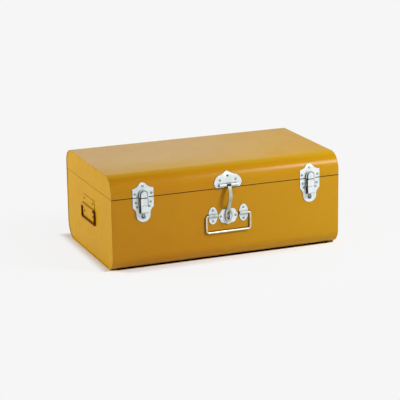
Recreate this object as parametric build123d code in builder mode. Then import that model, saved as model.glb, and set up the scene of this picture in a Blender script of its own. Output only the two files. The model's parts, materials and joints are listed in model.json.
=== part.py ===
from build123d import *

import os
from math import cos, radians, sin, sqrt

# A small tin trunk for papers and keepsakes: a folded sheet-steel body and lid, rear hinges,
# two snap latches, a centre hasp with its staple, a front bail and a bail on each end.
# Millimetres. X runs along the front, -Y is the front, +Z is up.
# The origin is the centre of the flat underside.

# ---------------------------------------------------------------- driving dimensions: the box
length = 500.0
depth = 297.0
height = 195.0
lid_height = 45.0
sheet = 0.8
body_front_radius = 31.0
body_rear_radius = 36.0
lid_front_radius = 34.0
lid_rear_radius = 30.0
seam_gap = 0.4
rim_width = 3.0
end_flange = 6.0
hem_height = 6.0
hem_width = 0.8
collar_sheet = 1.0
collar_above_seam = 5.0
collar_below_seam = 6.5
collar_lead = 0.4
assembly_play = 0.05
flange_relief = 2.0

# ---------------------------------------------------------------- rivets
rivet_shank_radius = 1.5
rivet_head_radius = 2.5
rivet_head_height = 1.1
rivet_tail_radius = 2.1
rivet_tail_height = 0.5
curved_seat_relief = 0.12
spring_rivet_head_radius = 3.6
plate_sheet = 1.0

# ---------------------------------------------------------------- latches
latch_end_inset = 67.0
latch_half_width = 22.3
latch_plate_gap = 1.8
keeper_corner_height = 18.5
keeper_shoulder = (13.0, 21.2)
keeper_neck = (6.5, 26.2)
keeper_peak_height = 29.0
keeper_side_rivet = (17.5, 7.8)
keeper_top_rivet_height = 22.2
base_corner_depth = 20.0
base_waist = (17.2, 26.0)
base_tail_radius = 15.0
base_tail_start = 33.0
base_depth = 51.0
base_upper_rivet = (15.6, 10.1)
base_lower_rivet = (13.0, 18.8)
spring_rivet_depth = 40.0
arch_outer_radius = 10.2
arch_inner_radius = 8.2
arch_centre_height = 6.0
arch_height = 4.6
hood_half_width = 7.25
hood_height = 7.5
hood_wall = 1.1
hood_edge_radius = 1.6
hood_lip_depth = 1.2
hood_lip_height = 1.2
cheek_gap = 0.5
cheek_sheet = 1.4
cheek_height = 5.2
cheek_top = 1.6
cheek_bottom = 19.0
cheek_corner_radius = 2.5
lever_sheet = 1.1
lever_top = 1.3
lever_crease = 16.0
lever_bottom = 30.0
lever_flare = 1.2
lever_lip_radius = 1.0
lever_flange_inset = 2.6
lever_flange_top = 5.0
lever_flange_bottom = 21.0
lever_nose_clearance = 0.25
lever_nose_half_width = 4.5
lever_nose_engagement = 0.9
lever_nose_height = 2.4
lever_arm_back = 4.4
latch_pin_radius = 1.25
latch_pin_drop = 12.0
latch_pin_height = 4.6
latch_pin_head_radius = 1.9
latch_pin_head = 0.5
running_clearance = 0.05
spring_sheet = 0.5
spring_half_width = 3.4
spring_bend = 25.0
spring_end_drop = 5.4
spring_end_angle = 6.0
spring_touch_gap = 0.3

# ---------------------------------------------------------------- hasp and staple
hasp_plate_half_width = 30.5
hasp_plate_foot = 26.5
hasp_plate_widest = 10.0
hasp_lobe_bulge = (25.6, 21.2)
hasp_lobe_top = (14.0, 27.0)
hasp_neck = (6.0, 30.6)
hasp_peak_height = 34.0
hasp_side_rivet = (17.0, 16.4)
hasp_top_rivet_height = 24.5
hasp_barrel_radius = 3.0
hasp_barrel_half_length = 20.5
hasp_barrel_rise = 6.6
hasp_knuckle_half_width = 4.4
hasp_knuckle_gap = 0.5
hasp_pin_radius = 1.3
strap_half_width = 3.8
strap_sheet = 1.8
strap_bow = 14.6
strap_bow_drop = 19.0
strap_foot_drop = 44.0
strap_start_angle = 54.0
strap_foot_angle = 72.0
eye_half_width = 7.8
eye_half_height = 15.4
eye_centre_drop = 57.5
eye_stand_off = 1.4
eye_slot_width = 6.2
eye_slot_length = 18.0
staple_plate_half_width = 21.3
staple_plate_half_height = 17.6
staple_lobe_radius = 8.6
staple_lobes = 8
staple_drop = 59.0
staple_rivet_offset = 16.6
staple_wire_radius = 1.6
staple_half_span = 4.6
staple_reach = 14.0
staple_clench = 1.2

# ---------------------------------------------------------------- bails
front_bail_half_width = 48.3
front_bail_drop = 35.2
front_bail_wire_radius = 2.1
front_bail_bend_radius = 4.2
front_bail_below_seam = 55.8
saddle_x = 33.7
saddle_half_width = 10.1
saddle_half_height = 18.2
saddle_rivet_offset = 11.4
saddle_wall = 1.2
saddle_end_inset = 1.6
bail_clearance = 0.3
bail_face_gap = 0.4
side_bail_half_width = 41.0
side_bail_drop = 28.0
side_bail_wire_radius = 2.0
side_bail_bend_radius = 3.0
side_bail_below_seam = 50.3
side_plate_half_width = 37.0
side_plate_half_height = 22.0
side_plate_corner_radius = 2.0
side_plate_rivet = (27.0, 14.0)

# ---------------------------------------------------------------- rear hinges
hinge_end_inset = 100.0
hinge_half_width = 20.0
hinge_leaf_sheet = 1.2
hinge_leaf_height = 15.0
hinge_barrel_radius = 3.0
hinge_face_gap = 0.3
hinge_pin_radius = 1.5
hinge_knuckle_gap = 0.4
hinge_centre_knuckle = 16.0
hinge_rivet_offset = 13.0
hinge_rivet_rise = 9.5
hinge_pin_head = 0.8
hinge_pin_head_radius = 2.2

# ---------------------------------------------------------------- worked out from the above
half_turn = 180
quarter_turn = 90
front_y = -depth / 2
rear_y = depth / 2
half_length = length / 2
seam_z = height - lid_height
latch_x = half_length - latch_end_inset
hinge_x = half_length - hinge_end_inset
front_bail_z = seam_z - front_bail_below_seam
side_bail_z = seam_z - side_bail_below_seam
body_rim_z = seam_z - seam_gap / 2
lid_rim_z = seam_z + seam_gap / 2
end_face_x = half_length - sheet
sides = (-1, 1)

os.makedirs("parts", exist_ok=True)


def write_piece(piece, label):
    """Label a finished piece and write it as its own STEP file."""
    piece.part.label = label
    export_step(piece.part, f"parts/{label}.step")


def slope(angle):
    """Unit direction of a profile line, at an angle in degrees from outward towards up."""
    return (cos(radians(angle)), sin(radians(angle)))


def side_name(side):
    """The word for the end of the trunk that lies towards side * X."""
    return "left" if side < 0 else "right"


# ---------------------------------------------------------------- planes on the outer skin
def front_plane(x, z, stand_off=0.0):
    """Plane on the front face: local x along the trunk, local y up, local z outward."""
    return Plane(origin=(x, front_y - stand_off, z), x_dir=(1, 0, 0), z_dir=(0, -1, 0))


def front_profile(x, z):
    """Plane across the front face: local x outward, local y up."""
    return Plane(origin=(x, front_y, z), x_dir=(0, -1, 0), z_dir=(-1, 0, 0))


def lid_front_seat(x, z):
    """Plane on the lid's front skin at height z, its local z normal to the rounded corner."""
    rise = z - (height - lid_front_radius)
    if rise <= 0:
        return front_plane(x, z)
    run = sqrt(lid_front_radius**2 - rise**2)
    outward = (0, -run / lid_front_radius, rise / lid_front_radius)
    return Plane(origin=(x, front_y + lid_front_radius - run, z), x_dir=(1, 0, 0), z_dir=outward)


def rear_seat(x, z):
    """Plane on the rear face, its local z pointing away from the trunk."""
    return Plane(origin=(x, rear_y, z), x_dir=(-1, 0, 0), z_dir=(0, 1, 0))


def end_plane(side, y, z):
    """Plane on an end panel: local x along the depth, local y up, local z outward."""
    return Plane(origin=(side * end_face_x, side * y, z), x_dir=(0, side, 0), z_dir=(side, 0, 0))


def end_profile(side, z):
    """Plane across an end panel: local x outward, local y up."""
    return Plane(origin=(side * end_face_x, 0, z), x_dir=(side, 0, 0), z_dir=(0, -side, 0))


# ---------------------------------------------------------------- where the rivets go
latch_centres = [side * latch_x for side in sides]


def mirrored(points):
    """Each (across, up) point together with its mirror image."""
    return [(side * across, up) for across, up in points for side in sides]


def keeper_seats(x):
    """Rivet seats of one latch keeper on the lid."""
    points = mirrored([keeper_side_rivet]) + [(0, keeper_top_rivet_height)]
    return [lid_front_seat(x + across, seam_z + up) for across, up in points]


def base_seats(x):
    """Small rivet seats of one latch base on the body."""
    points = mirrored([base_upper_rivet, base_lower_rivet])
    return [front_plane(x + across, seam_z - down) for across, down in points]


def spring_seat(x):
    """Seat of the rivet that holds the latch spring and the foot of the latch base."""
    return front_plane(x, seam_z - spring_rivet_depth)


hasp_points = mirrored([hasp_side_rivet]) + [(0, hasp_top_rivet_height)]
hasp_seats = [lid_front_seat(across, seam_z + up) for across, up in hasp_points]
staple_z = seam_z - staple_drop
staple_seats = [front_plane(side * staple_rivet_offset, staple_z) for side in sides]
saddle_seats = [
    front_plane(side * saddle_x, front_bail_z + end * saddle_rivet_offset)
    for side in sides
    for end in sides
]


def side_plate_seats(side):
    """Rivet seats of the handle plate on one end panel."""
    across, up = side_plate_rivet
    return [
        end_plane(side, left * across, side_bail_z + low * up)
        for left in sides
        for low in sides
    ]


def hinge_seats(x, direction):
    """Rivet seats of one hinge leaf, above the seam for direction 1 and below it for -1."""
    z = seam_z + direction * hinge_rivet_rise
    return [rear_seat(x + side * hinge_rivet_offset, z) for side in sides]


hinge_centres = [side * hinge_x for side in sides]
lid_front_seats = [seat for x in latch_centres for seat in keeper_seats(x)] + hasp_seats
latch_base_seats = [seat for x in latch_centres for seat in base_seats(x)]
spring_seats = [spring_seat(x) for x in latch_centres]
body_front_seats = latch_base_seats + spring_seats + staple_seats + saddle_seats
hinge_lid_seats = [seat for x in hinge_centres for seat in hinge_seats(x, 1)]
hinge_body_seats = [seat for x in hinge_centres for seat in hinge_seats(x, -1)]
staple_leg_seats = [front_plane(0, staple_z + side * staple_half_span) for side in sides]

hole_depth = 2 * (plate_sheet + sheet)
rivet_hole_radius = rivet_shank_radius + assembly_play


def drill(seats, radius=rivet_hole_radius):
    """Cut a through hole at each seat, in the sheet and the plate that it carries."""
    starts = [seat.offset(hole_depth / 2) for seat in seats]
    with Locations(*starts):
        Hole(radius, depth=hole_depth)


# ---------------------------------------------------------------- cross-sections of the shells
def body_outline(inset, mode=Mode.ADD):
    """Add the body's cross-section, drawn `inset` inside its outer skin, to the open sketch."""
    half = depth / 2 - inset
    front_radius = body_front_radius - inset
    rear_radius = body_rear_radius - inset
    with BuildLine() as outline:
        front = Line((-half, body_rim_z), (-half, inset + front_radius))
        front_corner = JernArc(front @ 1, front % 1, front_radius, quarter_turn)
        floor = Line(front_corner @ 1, (half - rear_radius, inset))
        rear_corner = JernArc(floor @ 1, floor % 1, rear_radius, quarter_turn)
        rear = Line(rear_corner @ 1, (half, body_rim_z))
        Line(rear @ 1, front @ 0)
    make_face(outline.edges(), mode=mode)


def lid_outline(inset, mode=Mode.ADD):
    """Add the lid's cross-section, drawn `inset` inside its outer skin, to the open sketch."""
    half = depth / 2 - inset
    top = height - inset
    front_radius = lid_front_radius - inset
    rear_radius = lid_rear_radius - inset
    with BuildLine() as outline:
        front = Line((-half, lid_rim_z), (-half, top - front_radius))
        front_corner = JernArc(front @ 1, front % 1, front_radius, -quarter_turn)
        roof = Line(front_corner @ 1, (half - rear_radius, top))
        rear_corner = JernArc(roof @ 1, roof % 1, rear_radius, -quarter_turn)
        rear = Line(rear_corner @ 1, (half, lid_rim_z))
        Line(rear @ 1, front @ 0)
    make_face(outline.edges(), mode=mode)


def add_end_rims(outline):
    """Fold a narrow rim inward at both ends of the shell that is being built."""
    for side in sides:
        with BuildSketch(Plane.YZ.offset(side * half_length)) as rim:
            outline(0)
            outline(rim_width, mode=Mode.SUBTRACT)
        extrude(rim.sketch, amount=-side * sheet)


def add_end_panel(outline, side):
    """Build one flat end panel behind the folded rim, with a flange turned inward."""
    lap = sheet + assembly_play
    with BuildSketch(Plane.YZ.offset(side * end_face_x)) as panel:
        outline(lap)
    extrude(panel.sketch, amount=-side * sheet)
    with BuildSketch(Plane.YZ.offset(side * end_face_x)) as flange:
        outline(lap)
        outline(lap + sheet, mode=Mode.SUBTRACT)
    extrude(flange.sketch, amount=-side * (sheet + end_flange))


# ---------------------------------------------------------------- body shell
hem_z = body_rim_z - hem_height / 2
with BuildPart() as body_wrap:
    with BuildSketch(Plane.YZ):
        body_outline(0)
        body_outline(sheet, mode=Mode.SUBTRACT)
    extrude(amount=half_length, both=True)
    add_end_rims(body_outline)
    hem_length = length - 2 * (2 * sheet + end_flange + assembly_play)
    with Locations(*[(0, side * (depth / 2 - sheet - hem_width / 2), hem_z) for side in sides]):
        Box(hem_length, hem_width, hem_height)
    drill(body_front_seats + hinge_body_seats)
    drill(staple_leg_seats, staple_wire_radius + assembly_play)
write_piece(body_wrap, "body_wrap")

for side in sides:
    with BuildPart() as body_end:
        add_end_panel(body_outline, side)
        hem_x = side * (end_face_x - sheet - hem_width / 2)
        hem_run = depth - 2 * (2 * sheet + assembly_play)
        with Locations((hem_x, 0, hem_z)):
            Box(hem_width, hem_run, hem_height)
        drill(side_plate_seats(side))
    write_piece(body_end, f"body_end_{side_name(side)}")

collar_half_x = end_face_x - sheet - hem_width - assembly_play
collar_half_y = depth / 2 - sheet - hem_width - assembly_play
collar_z = seam_z + (collar_above_seam - collar_below_seam) / 2
collar_height = collar_above_seam + collar_below_seam
collar_end_run = 2 * (collar_half_y - collar_sheet - assembly_play)
front_collar = ("front", (0, -1), 2 * collar_half_x, collar_half_y)
rear_collar = ("rear", (0, 1), 2 * collar_half_x, collar_half_y)
left_collar = ("left", (-1, 0), collar_end_run, collar_half_x)
right_collar = ("right", (1, 0), collar_end_run, collar_half_x)


def collar_strip(outward, run, stand_off):
    """One guide strip, upright inside the mouth, its upper outer edge eased to lead the lid on."""
    across, along = outward
    middle = (across * stand_off, along * stand_off, collar_z)
    face = Plane(origin=middle, x_dir=(-along, across, 0), z_dir=(across, along, 0))
    with BuildPart() as strip:
        with BuildSketch(face):
            Rectangle(run, collar_height)
        extrude(amount=-collar_sheet)
        outer = strip.faces().filter_by(Plane(origin=middle, z_dir=face.z_dir))
        outer_face = outer.sort_by_distance(middle)[0]
        chamfer(outer_face.edges().sort_by(Axis.Z)[-1], collar_lead)
    return strip


for name, outward, run, stand_off in (front_collar, rear_collar, left_collar, right_collar):
    write_piece(collar_strip(outward, run, stand_off), f"collar_{name}")

# ---------------------------------------------------------------- lid shell
with BuildPart() as lid_wrap:
    with BuildSketch(Plane.YZ):
        lid_outline(0)
        lid_outline(sheet, mode=Mode.SUBTRACT)
    extrude(amount=half_length, both=True)
    add_end_rims(lid_outline)
    drill(lid_front_seats + hinge_lid_seats)
write_piece(lid_wrap, "lid_wrap")

for side in sides:
    with BuildPart() as lid_end:
        add_end_panel(lid_outline, side)
        relief_height = 2 * (collar_above_seam + flange_relief)
        relief_x = side * (end_face_x - sheet - end_flange / 2)
        with Locations((relief_x, 0, lid_rim_z)):
            Box(end_flange, depth, relief_height, mode=Mode.SUBTRACT)
    write_piece(lid_end, f"lid_end_{side_name(side)}")

# ---------------------------------------------------------------- rear hinges
hinge_axis_y = rear_y + hinge_barrel_radius + hinge_face_gap
side_knuckle = hinge_half_width - hinge_centre_knuckle / 2


def hinge_leaf(x, direction):
    """One leaf: direction -1 is the body leaf with two knuckles, 1 the lid leaf with one."""
    leaf_middle = seam_z + direction * hinge_leaf_height / 2
    barrel_clear = hinge_barrel_radius + hinge_knuckle_gap
    half_centre = hinge_centre_knuckle / 2
    outer_middle = half_centre + side_knuckle / 2
    if direction < 0:
        knuckles = [(side * outer_middle, side_knuckle) for side in sides]
        notches = [(0, hinge_centre_knuckle + 2 * hinge_knuckle_gap)]
    else:
        knuckles = [(0, hinge_centre_knuckle - 2 * hinge_knuckle_gap)]
        notches = [(side * outer_middle, side_knuckle) for side in sides]
    with BuildPart() as leaf:
        with Locations((x, rear_y + hinge_leaf_sheet / 2, leaf_middle)):
            Box(2 * hinge_half_width, hinge_leaf_sheet, hinge_leaf_height)
        for offset_x, width in notches:
            with Locations((x + offset_x, rear_y, seam_z)):
                Box(width, 2 * hinge_leaf_sheet, 2 * barrel_clear, mode=Mode.SUBTRACT)
        for offset_x, width in knuckles:
            with BuildSketch(Plane.YZ.offset(x + offset_x)):
                with Locations((hinge_axis_y, seam_z)):
                    Circle(hinge_barrel_radius)
                root_y = rear_y + hinge_leaf_sheet / 2 + hinge_face_gap
                with Locations((root_y, seam_z + direction * hinge_barrel_radius / 2)):
                    Rectangle(hinge_leaf_sheet, hinge_barrel_radius)
                with Locations((hinge_axis_y, seam_z)):
                    Circle(hinge_pin_radius + running_clearance, mode=Mode.SUBTRACT)
            extrude(amount=width / 2, both=True)
        drill(hinge_seats(x, direction))
    return leaf


for side in sides:
    x = side * hinge_x
    write_piece(hinge_leaf(x, -1), f"hinge_body_leaf_{side_name(side)}")
    write_piece(hinge_leaf(x, 1), f"hinge_lid_leaf_{side_name(side)}")
    with BuildPart() as hinge_pin:
        with Locations(Plane(origin=(x, hinge_axis_y, seam_z), z_dir=(1, 0, 0))):
            Cylinder(hinge_pin_radius, 2 * hinge_half_width)
        for end in sides:
            head_x = x + end * (hinge_half_width + hinge_pin_head / 2)
            with Locations(Plane(origin=(head_x, hinge_axis_y, seam_z), z_dir=(1, 0, 0))):
                Cylinder(hinge_pin_head_radius, hinge_pin_head)
    write_piece(hinge_pin, f"hinge_pin_{side_name(side)}")

# ---------------------------------------------------------------- latch keepers on the lid
plate_gap_half = latch_plate_gap / 2


def lid_front_skin(x, half_width):
    """A sheet as thick as a plate, bent over the lid's front skin, for a plate to be cut from."""
    with BuildPart(mode=Mode.PRIVATE) as skin:
        with BuildSketch(Plane.YZ.offset(x)):
            lid_outline(-plate_sheet)
            lid_outline(0, mode=Mode.SUBTRACT)
        extrude(amount=half_width, both=True)
    return skin.part


def arched_outline(half_width, foot, mode=Mode.ADD):
    """Add a round-topped upright outline, its arch centred above the seam, to the sketch."""
    with BuildLine() as arch:
        left = Line((-half_width, foot), (-half_width, arch_centre_height))
        RadiusArc(left @ 1, (half_width, arch_centre_height), half_width)
        right = Line((half_width, arch_centre_height), (half_width, foot))
        Line(right @ 1, left @ 0)
    make_face(arch.edges(), mode=mode)


def keeper_outline():
    """Add the keeper's shield-shaped outline to the open sketch."""
    peak = (0, keeper_peak_height)
    for side in sides:
        with BuildLine() as half:
            foot = (side * latch_half_width, plate_gap_half)
            corner = (side * latch_half_width, keeper_corner_height)
            shoulder = (side * keeper_shoulder[0], keeper_shoulder[1])
            neck = (side * keeper_neck[0], keeper_neck[1])
            crown = (side * keeper_neck[0] / 2, keeper_peak_height - hood_wall / 2)
            Line((0, plate_gap_half), foot)
            Line(foot, corner)
            ThreePointArc(corner, shoulder, neck)
            ThreePointArc(neck, crown, peak)
            Line(peak, (0, plate_gap_half))
        make_face(half.edges())


def latch_keeper(x):
    """Lid half of a latch: a plate with a raised arch round a hood that hides the catch lip."""
    face = front_plane(x, seam_z)
    skin = lid_front_skin(x, latch_half_width)
    hood_lip_w = plate_sheet + hood_height - hood_wall
    with BuildPart() as keeper:
        with BuildSketch(face.offset(-lid_front_radius)):
            keeper_outline()
        extrude(amount=lid_front_radius + 2 * plate_sheet)
        add(skin, mode=Mode.INTERSECT)
        with BuildSketch(face.offset(plate_sheet / 2)):
            arched_outline(arch_outer_radius, plate_gap_half)
            arched_outline(arch_inner_radius, plate_gap_half, mode=Mode.SUBTRACT)
        extrude(amount=plate_sheet / 2 + arch_height)
        with BuildSketch(face.offset(plate_sheet / 2)):
            arched_outline(hood_half_width, plate_gap_half)
        extrude(amount=plate_sheet / 2 + hood_height)
        hood_front = keeper.edges().filter_by_position(
            Axis.Y, front_y - plate_sheet - hood_height - assembly_play,
            front_y - plate_sheet - hood_height + assembly_play,
        )
        fillet(hood_front.sort_by(Axis.Z)[1:], hood_edge_radius)
        with BuildSketch(face.offset(plate_sheet)):
            arched_outline(hood_half_width - hood_wall, plate_gap_half)
        extrude(amount=hood_height - hood_wall, mode=Mode.SUBTRACT)
        lip_plane = front_plane(x, seam_z + plate_gap_half + hood_lip_height / 2, hood_lip_w)
        with Locations(lip_plane.offset(-hood_lip_depth / 2)):
            Box(2 * (hood_half_width - hood_wall / 2), hood_lip_height, hood_lip_depth)
        drill(keeper_seats(x))
    return keeper


# ---------------------------------------------------------------- latch bases on the body
cheek_inner = hood_half_width + cheek_gap
cheek_outer = cheek_inner + cheek_sheet
pin_hole_radius = latch_pin_radius + running_clearance
latch_pin_z = seam_z - latch_pin_drop


def base_outline():
    """Add the base plate's outline, wide at the seam and narrow at its round foot."""
    waist_y = -base_tail_start
    with BuildLine() as outline:
        Line((-latch_half_width, -plate_gap_half), (latch_half_width, -plate_gap_half))
        for side in sides:
            corner = (side * latch_half_width, -base_corner_depth)
            Line((side * latch_half_width, -plate_gap_half), corner)
            waist = (side * base_tail_radius, waist_y)
            ThreePointArc(corner, (side * base_waist[0], -base_waist[1]), waist)
            Line(waist, (side * base_tail_radius, base_tail_radius - base_depth))
        tail_y = base_tail_radius - base_depth
        ThreePointArc((-base_tail_radius, tail_y), (0, -base_depth), (base_tail_radius, tail_y))
    make_face(outline.edges())


def latch_base(x):
    """Body half of a latch: a plate with two upright cheeks that carry the lever's pin."""
    face = front_plane(x, seam_z)
    cheek_run = cheek_bottom - cheek_top
    with BuildPart() as base:
        with BuildSketch(face):
            base_outline()
        extrude(amount=plate_sheet)
        for side in sides:
            cheek_x = x + side * (cheek_inner + cheek_sheet / 2)
            with BuildSketch(front_profile(cheek_x, seam_z)):
                with Locations(((plate_sheet + cheek_height) / 2, -(cheek_top + cheek_bottom) / 2)):
                    Rectangle(plate_sheet + cheek_height, cheek_run)
            extrude(amount=cheek_sheet / 2, both=True)
        outer = base.edges().filter_by(Axis.X).filter_by_position(
            Axis.Y, front_y - plate_sheet - cheek_height - assembly_play,
            front_y - plate_sheet - cheek_height + assembly_play,
        )
        fillet(outer, cheek_corner_radius)
        pin_plane = Plane(origin=(x, front_y - latch_pin_height, latch_pin_z), z_dir=(1, 0, 0))
        with Locations(pin_plane):
            Cylinder(pin_hole_radius, 2 * latch_half_width, mode=Mode.SUBTRACT)
        drill(base_seats(x) + [spring_seat(x)])
    return base


# ---------------------------------------------------------------- latch levers and their pins
nose_bottom = plate_gap_half + hood_lip_height + lever_nose_clearance
nose_tip_w = plate_sheet + hood_height - hood_wall - hood_lip_depth + lever_nose_engagement
lever_front_w = plate_sheet + hood_height
lever_back_w = lever_front_w - lever_sheet
arm_front_w = lever_arm_back + lever_sheet


def lever_profile():
    """Add the lever's side profile: catch nose, jogged arm, flat, crease and flared finger end."""
    flare_back = lever_back_w + lever_flare
    flare_front = lever_front_w + lever_flare
    with BuildLine() as outline:
        Polyline(
            (lever_back_w, -lever_crease),
            (lever_back_w, -lever_flange_top),
            (lever_arm_back, -lever_top),
            (lever_arm_back, nose_bottom + lever_nose_height),
            (arm_front_w, nose_bottom + lever_nose_height),
            (nose_tip_w, nose_bottom + lever_sheet / 2),
            (nose_tip_w, nose_bottom),
            (arm_front_w, nose_bottom),
            (arm_front_w, -lever_top - lever_sheet / 2),
            (lever_front_w, -lever_flange_top + lever_sheet / 2),
            (lever_front_w, -lever_crease),
            (flare_front, -lever_bottom),
            (flare_back, -lever_bottom),
            close=True,
        )
    make_face(outline.edges())


def latch_lever(x):
    """Rocking lever: a folded channel pivoted between the cheeks, with a catch nose on top."""
    across = hood_half_width - lever_sheet / 2
    with BuildPart() as lever:
        with BuildSketch(front_profile(x, seam_z)):
            lever_profile()
        extrude(amount=lever_nose_half_width, both=True)
        with BuildSketch(front_profile(x, seam_z)):
            with BuildLine():
                Polyline(
                    (lever_back_w, -lever_crease),
                    (lever_back_w, -lever_top),
                    (lever_front_w, -lever_top),
                    (lever_front_w, -lever_crease),
                    (lever_front_w + lever_flare, -lever_bottom),
                    (lever_back_w + lever_flare, -lever_bottom),
                    close=True,
                )
            make_face()
        extrude(amount=hood_half_width, both=True)
        for side in sides:
            with BuildSketch(front_profile(x + side * across, seam_z)):
                with BuildLine():
                    Polyline(
                        (lever_back_w, -lever_flange_top),
                        (lever_flange_inset, -lever_flange_top),
                        (lever_flange_inset, -lever_flange_bottom + lever_flange_inset),
                        (lever_back_w, -lever_flange_bottom - lever_flange_inset),
                        close=True,
                    )
                make_face()
            extrude(amount=lever_sheet / 2, both=True)
        lip_w = lever_back_w + lever_flare + lever_lip_radius
        with BuildSketch(front_profile(x, seam_z)):
            with Locations((lip_w, -lever_bottom)):
                Circle(lever_lip_radius)
        extrude(amount=hood_half_width, both=True)
        pin_plane = Plane(origin=(x, front_y - latch_pin_height, latch_pin_z), z_dir=(1, 0, 0))
        with Locations(pin_plane):
            Cylinder(pin_hole_radius, 2 * latch_half_width, mode=Mode.SUBTRACT)
    return lever


def latch_pin(x):
    """Headed pin through both cheeks and the lever's flanges."""
    with BuildPart() as pin:
        middle = Plane(origin=(x, front_y - latch_pin_height, latch_pin_z), z_dir=(1, 0, 0))
        with Locations(middle):
            Cylinder(latch_pin_radius, 2 * cheek_outer)
        for side in sides:
            with Locations(middle.offset(side * (cheek_outer + latch_pin_head / 2))):
                Cylinder(latch_pin_head_radius, latch_pin_head)
    return pin


def latch_spring(x):
    """Leaf spring under the lever: flat where it is riveted, then curved out to the arm."""
    flat_w = plate_sheet + spring_sheet / 2
    touch_w = lever_arm_back - spring_touch_gap - spring_sheet / 2
    foot = -spring_rivet_depth - spring_rivet_head_radius
    with BuildPart() as spring:
        with BuildSketch(front_profile(x, seam_z)) as section:
            with BuildLine() as centre_line:
                flat = Line((flat_w, foot), (flat_w, -spring_bend))
                Spline(
                    flat @ 1,
                    (touch_w, -spring_end_drop),
                    tangents=(flat % 1, slope(quarter_turn - spring_end_angle)),
                )
            trace(centre_line.line, spring_sheet)
        extrude(amount=spring_half_width, both=True)
        drill([spring_seat(x)])
    return spring


for side in sides:
    x = side * latch_x
    write_piece(latch_keeper(x), f"latch_keeper_{side_name(side)}")
    write_piece(latch_base(x), f"latch_base_{side_name(side)}")
    write_piece(latch_lever(x), f"latch_lever_{side_name(side)}")
    write_piece(latch_pin(x), f"latch_pin_{side_name(side)}")
    write_piece(latch_spring(x), f"latch_spring_{side_name(side)}")

# ---------------------------------------------------------------- hasp plate on the lid
hasp_barrel_z = seam_z + hasp_barrel_rise
hasp_barrel_w = hasp_barrel_radius + plate_sheet
hasp_axis_y = front_y - hasp_barrel_w
hasp_hole_radius = hasp_pin_radius + running_clearance
hasp_slot_half_width = hasp_knuckle_half_width + hasp_knuckle_gap


def hasp_plate_outline():
    """Add the hasp plate's outline, a broad shield that rises to a narrow point."""
    for side in sides:
        with BuildLine() as half:
            foot = (side * hasp_plate_foot, plate_gap_half)
            widest = (side * hasp_plate_half_width, hasp_plate_widest)
            bulge = (side * hasp_lobe_bulge[0], hasp_lobe_bulge[1])
            lobe_top = (side * hasp_lobe_top[0], hasp_lobe_top[1])
            neck = (side * hasp_neck[0], hasp_neck[1])
            peak = (0, hasp_peak_height)
            Line((0, plate_gap_half), foot)
            Line(foot, widest)
            ThreePointArc(widest, bulge, lobe_top)
            Spline(lobe_top, neck, peak)
            Line(peak, (0, plate_gap_half))
        make_face(half.edges())


with BuildPart() as hasp_plate:
    with BuildSketch(front_plane(0, seam_z, -lid_front_radius)):
        hasp_plate_outline()
    extrude(amount=lid_front_radius + 2 * plate_sheet)
    add(lid_front_skin(0, hasp_plate_half_width), mode=Mode.INTERSECT)
    knuckle_run = hasp_barrel_half_length - hasp_slot_half_width
    for side in sides:
        knuckle_x = side * (hasp_slot_half_width + knuckle_run / 2)
        with BuildSketch(front_profile(knuckle_x, seam_z)):
            with Locations((hasp_barrel_w, hasp_barrel_rise)):
                Circle(hasp_barrel_radius)
            with Locations((hasp_barrel_w / 2, hasp_barrel_rise - hasp_barrel_radius / 2)):
                Rectangle(hasp_barrel_w, hasp_barrel_radius)
        extrude(amount=knuckle_run / 2, both=True)
    slot_bottom = hasp_barrel_rise - hasp_barrel_radius - hasp_knuckle_gap
    slot_top = hasp_barrel_rise + hasp_barrel_radius + hasp_knuckle_gap
    with BuildSketch(front_plane(0, seam_z)):
        with Locations((0, (slot_bottom + slot_top) / 2)):
            Rectangle(2 * hasp_slot_half_width, slot_top - slot_bottom)
    extrude(amount=2 * hasp_barrel_w, mode=Mode.SUBTRACT)
    with Locations(Plane(origin=(0, hasp_axis_y, hasp_barrel_z), z_dir=(1, 0, 0))):
        Cylinder(hasp_hole_radius, 2 * hasp_plate_half_width, mode=Mode.SUBTRACT)
    drill(hasp_seats)
write_piece(hasp_plate, "hasp_plate")

with BuildPart() as hasp_pin:
    with Locations(Plane(origin=(0, hasp_axis_y, hasp_barrel_z), z_dir=(1, 0, 0))):
        Cylinder(hasp_pin_radius, 2 * hasp_barrel_half_length)
write_piece(hasp_pin, "hasp_pin")

# ---------------------------------------------------------------- hasp strap
eye_back_w = plate_sheet + eye_stand_off
eye_mid_w = eye_back_w + strap_sheet / 2
strap_start_w = hasp_barrel_w + hasp_barrel_radius - strap_sheet / 2
with BuildPart() as hasp_strap:
    with BuildSketch(front_profile(0, seam_z)):
        with BuildLine() as bow:
            Spline(
                (strap_start_w, hasp_barrel_rise),
                (strap_bow, -strap_bow_drop),
                (eye_mid_w, -strap_foot_drop),
                tangents=(slope(-strap_start_angle), slope(strap_foot_angle - half_turn)),
            )
        trace(bow.line, strap_sheet)
    extrude(amount=strap_half_width, both=True)
    with BuildSketch(front_profile(0, seam_z)):
        with Locations((hasp_barrel_w, hasp_barrel_rise)):
            Circle(hasp_barrel_radius)
    extrude(amount=hasp_knuckle_half_width, both=True)
    with BuildSketch(front_plane(0, seam_z - eye_centre_drop, eye_back_w)):
        Ellipse(eye_half_width, eye_half_height)
        SlotOverall(eye_slot_length, eye_slot_width, rotation=quarter_turn, mode=Mode.SUBTRACT)
    extrude(amount=strap_sheet)
    with Locations(Plane(origin=(0, hasp_axis_y, hasp_barrel_z), z_dir=(1, 0, 0))):
        Cylinder(hasp_hole_radius, 2 * hasp_knuckle_half_width, mode=Mode.SUBTRACT)
write_piece(hasp_strap, "hasp_strap")

# ---------------------------------------------------------------- staple and its plate
def sweep_wire(path, radius):
    """Add a round wire along a path of straight runs and arcs, one run or arc at a time."""
    for run in path.edges():
        with BuildSketch(Plane(origin=run @ 0, z_dir=run % 0)) as section:
            Circle(radius)
        sweep(section.sketch, path=run)


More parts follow.
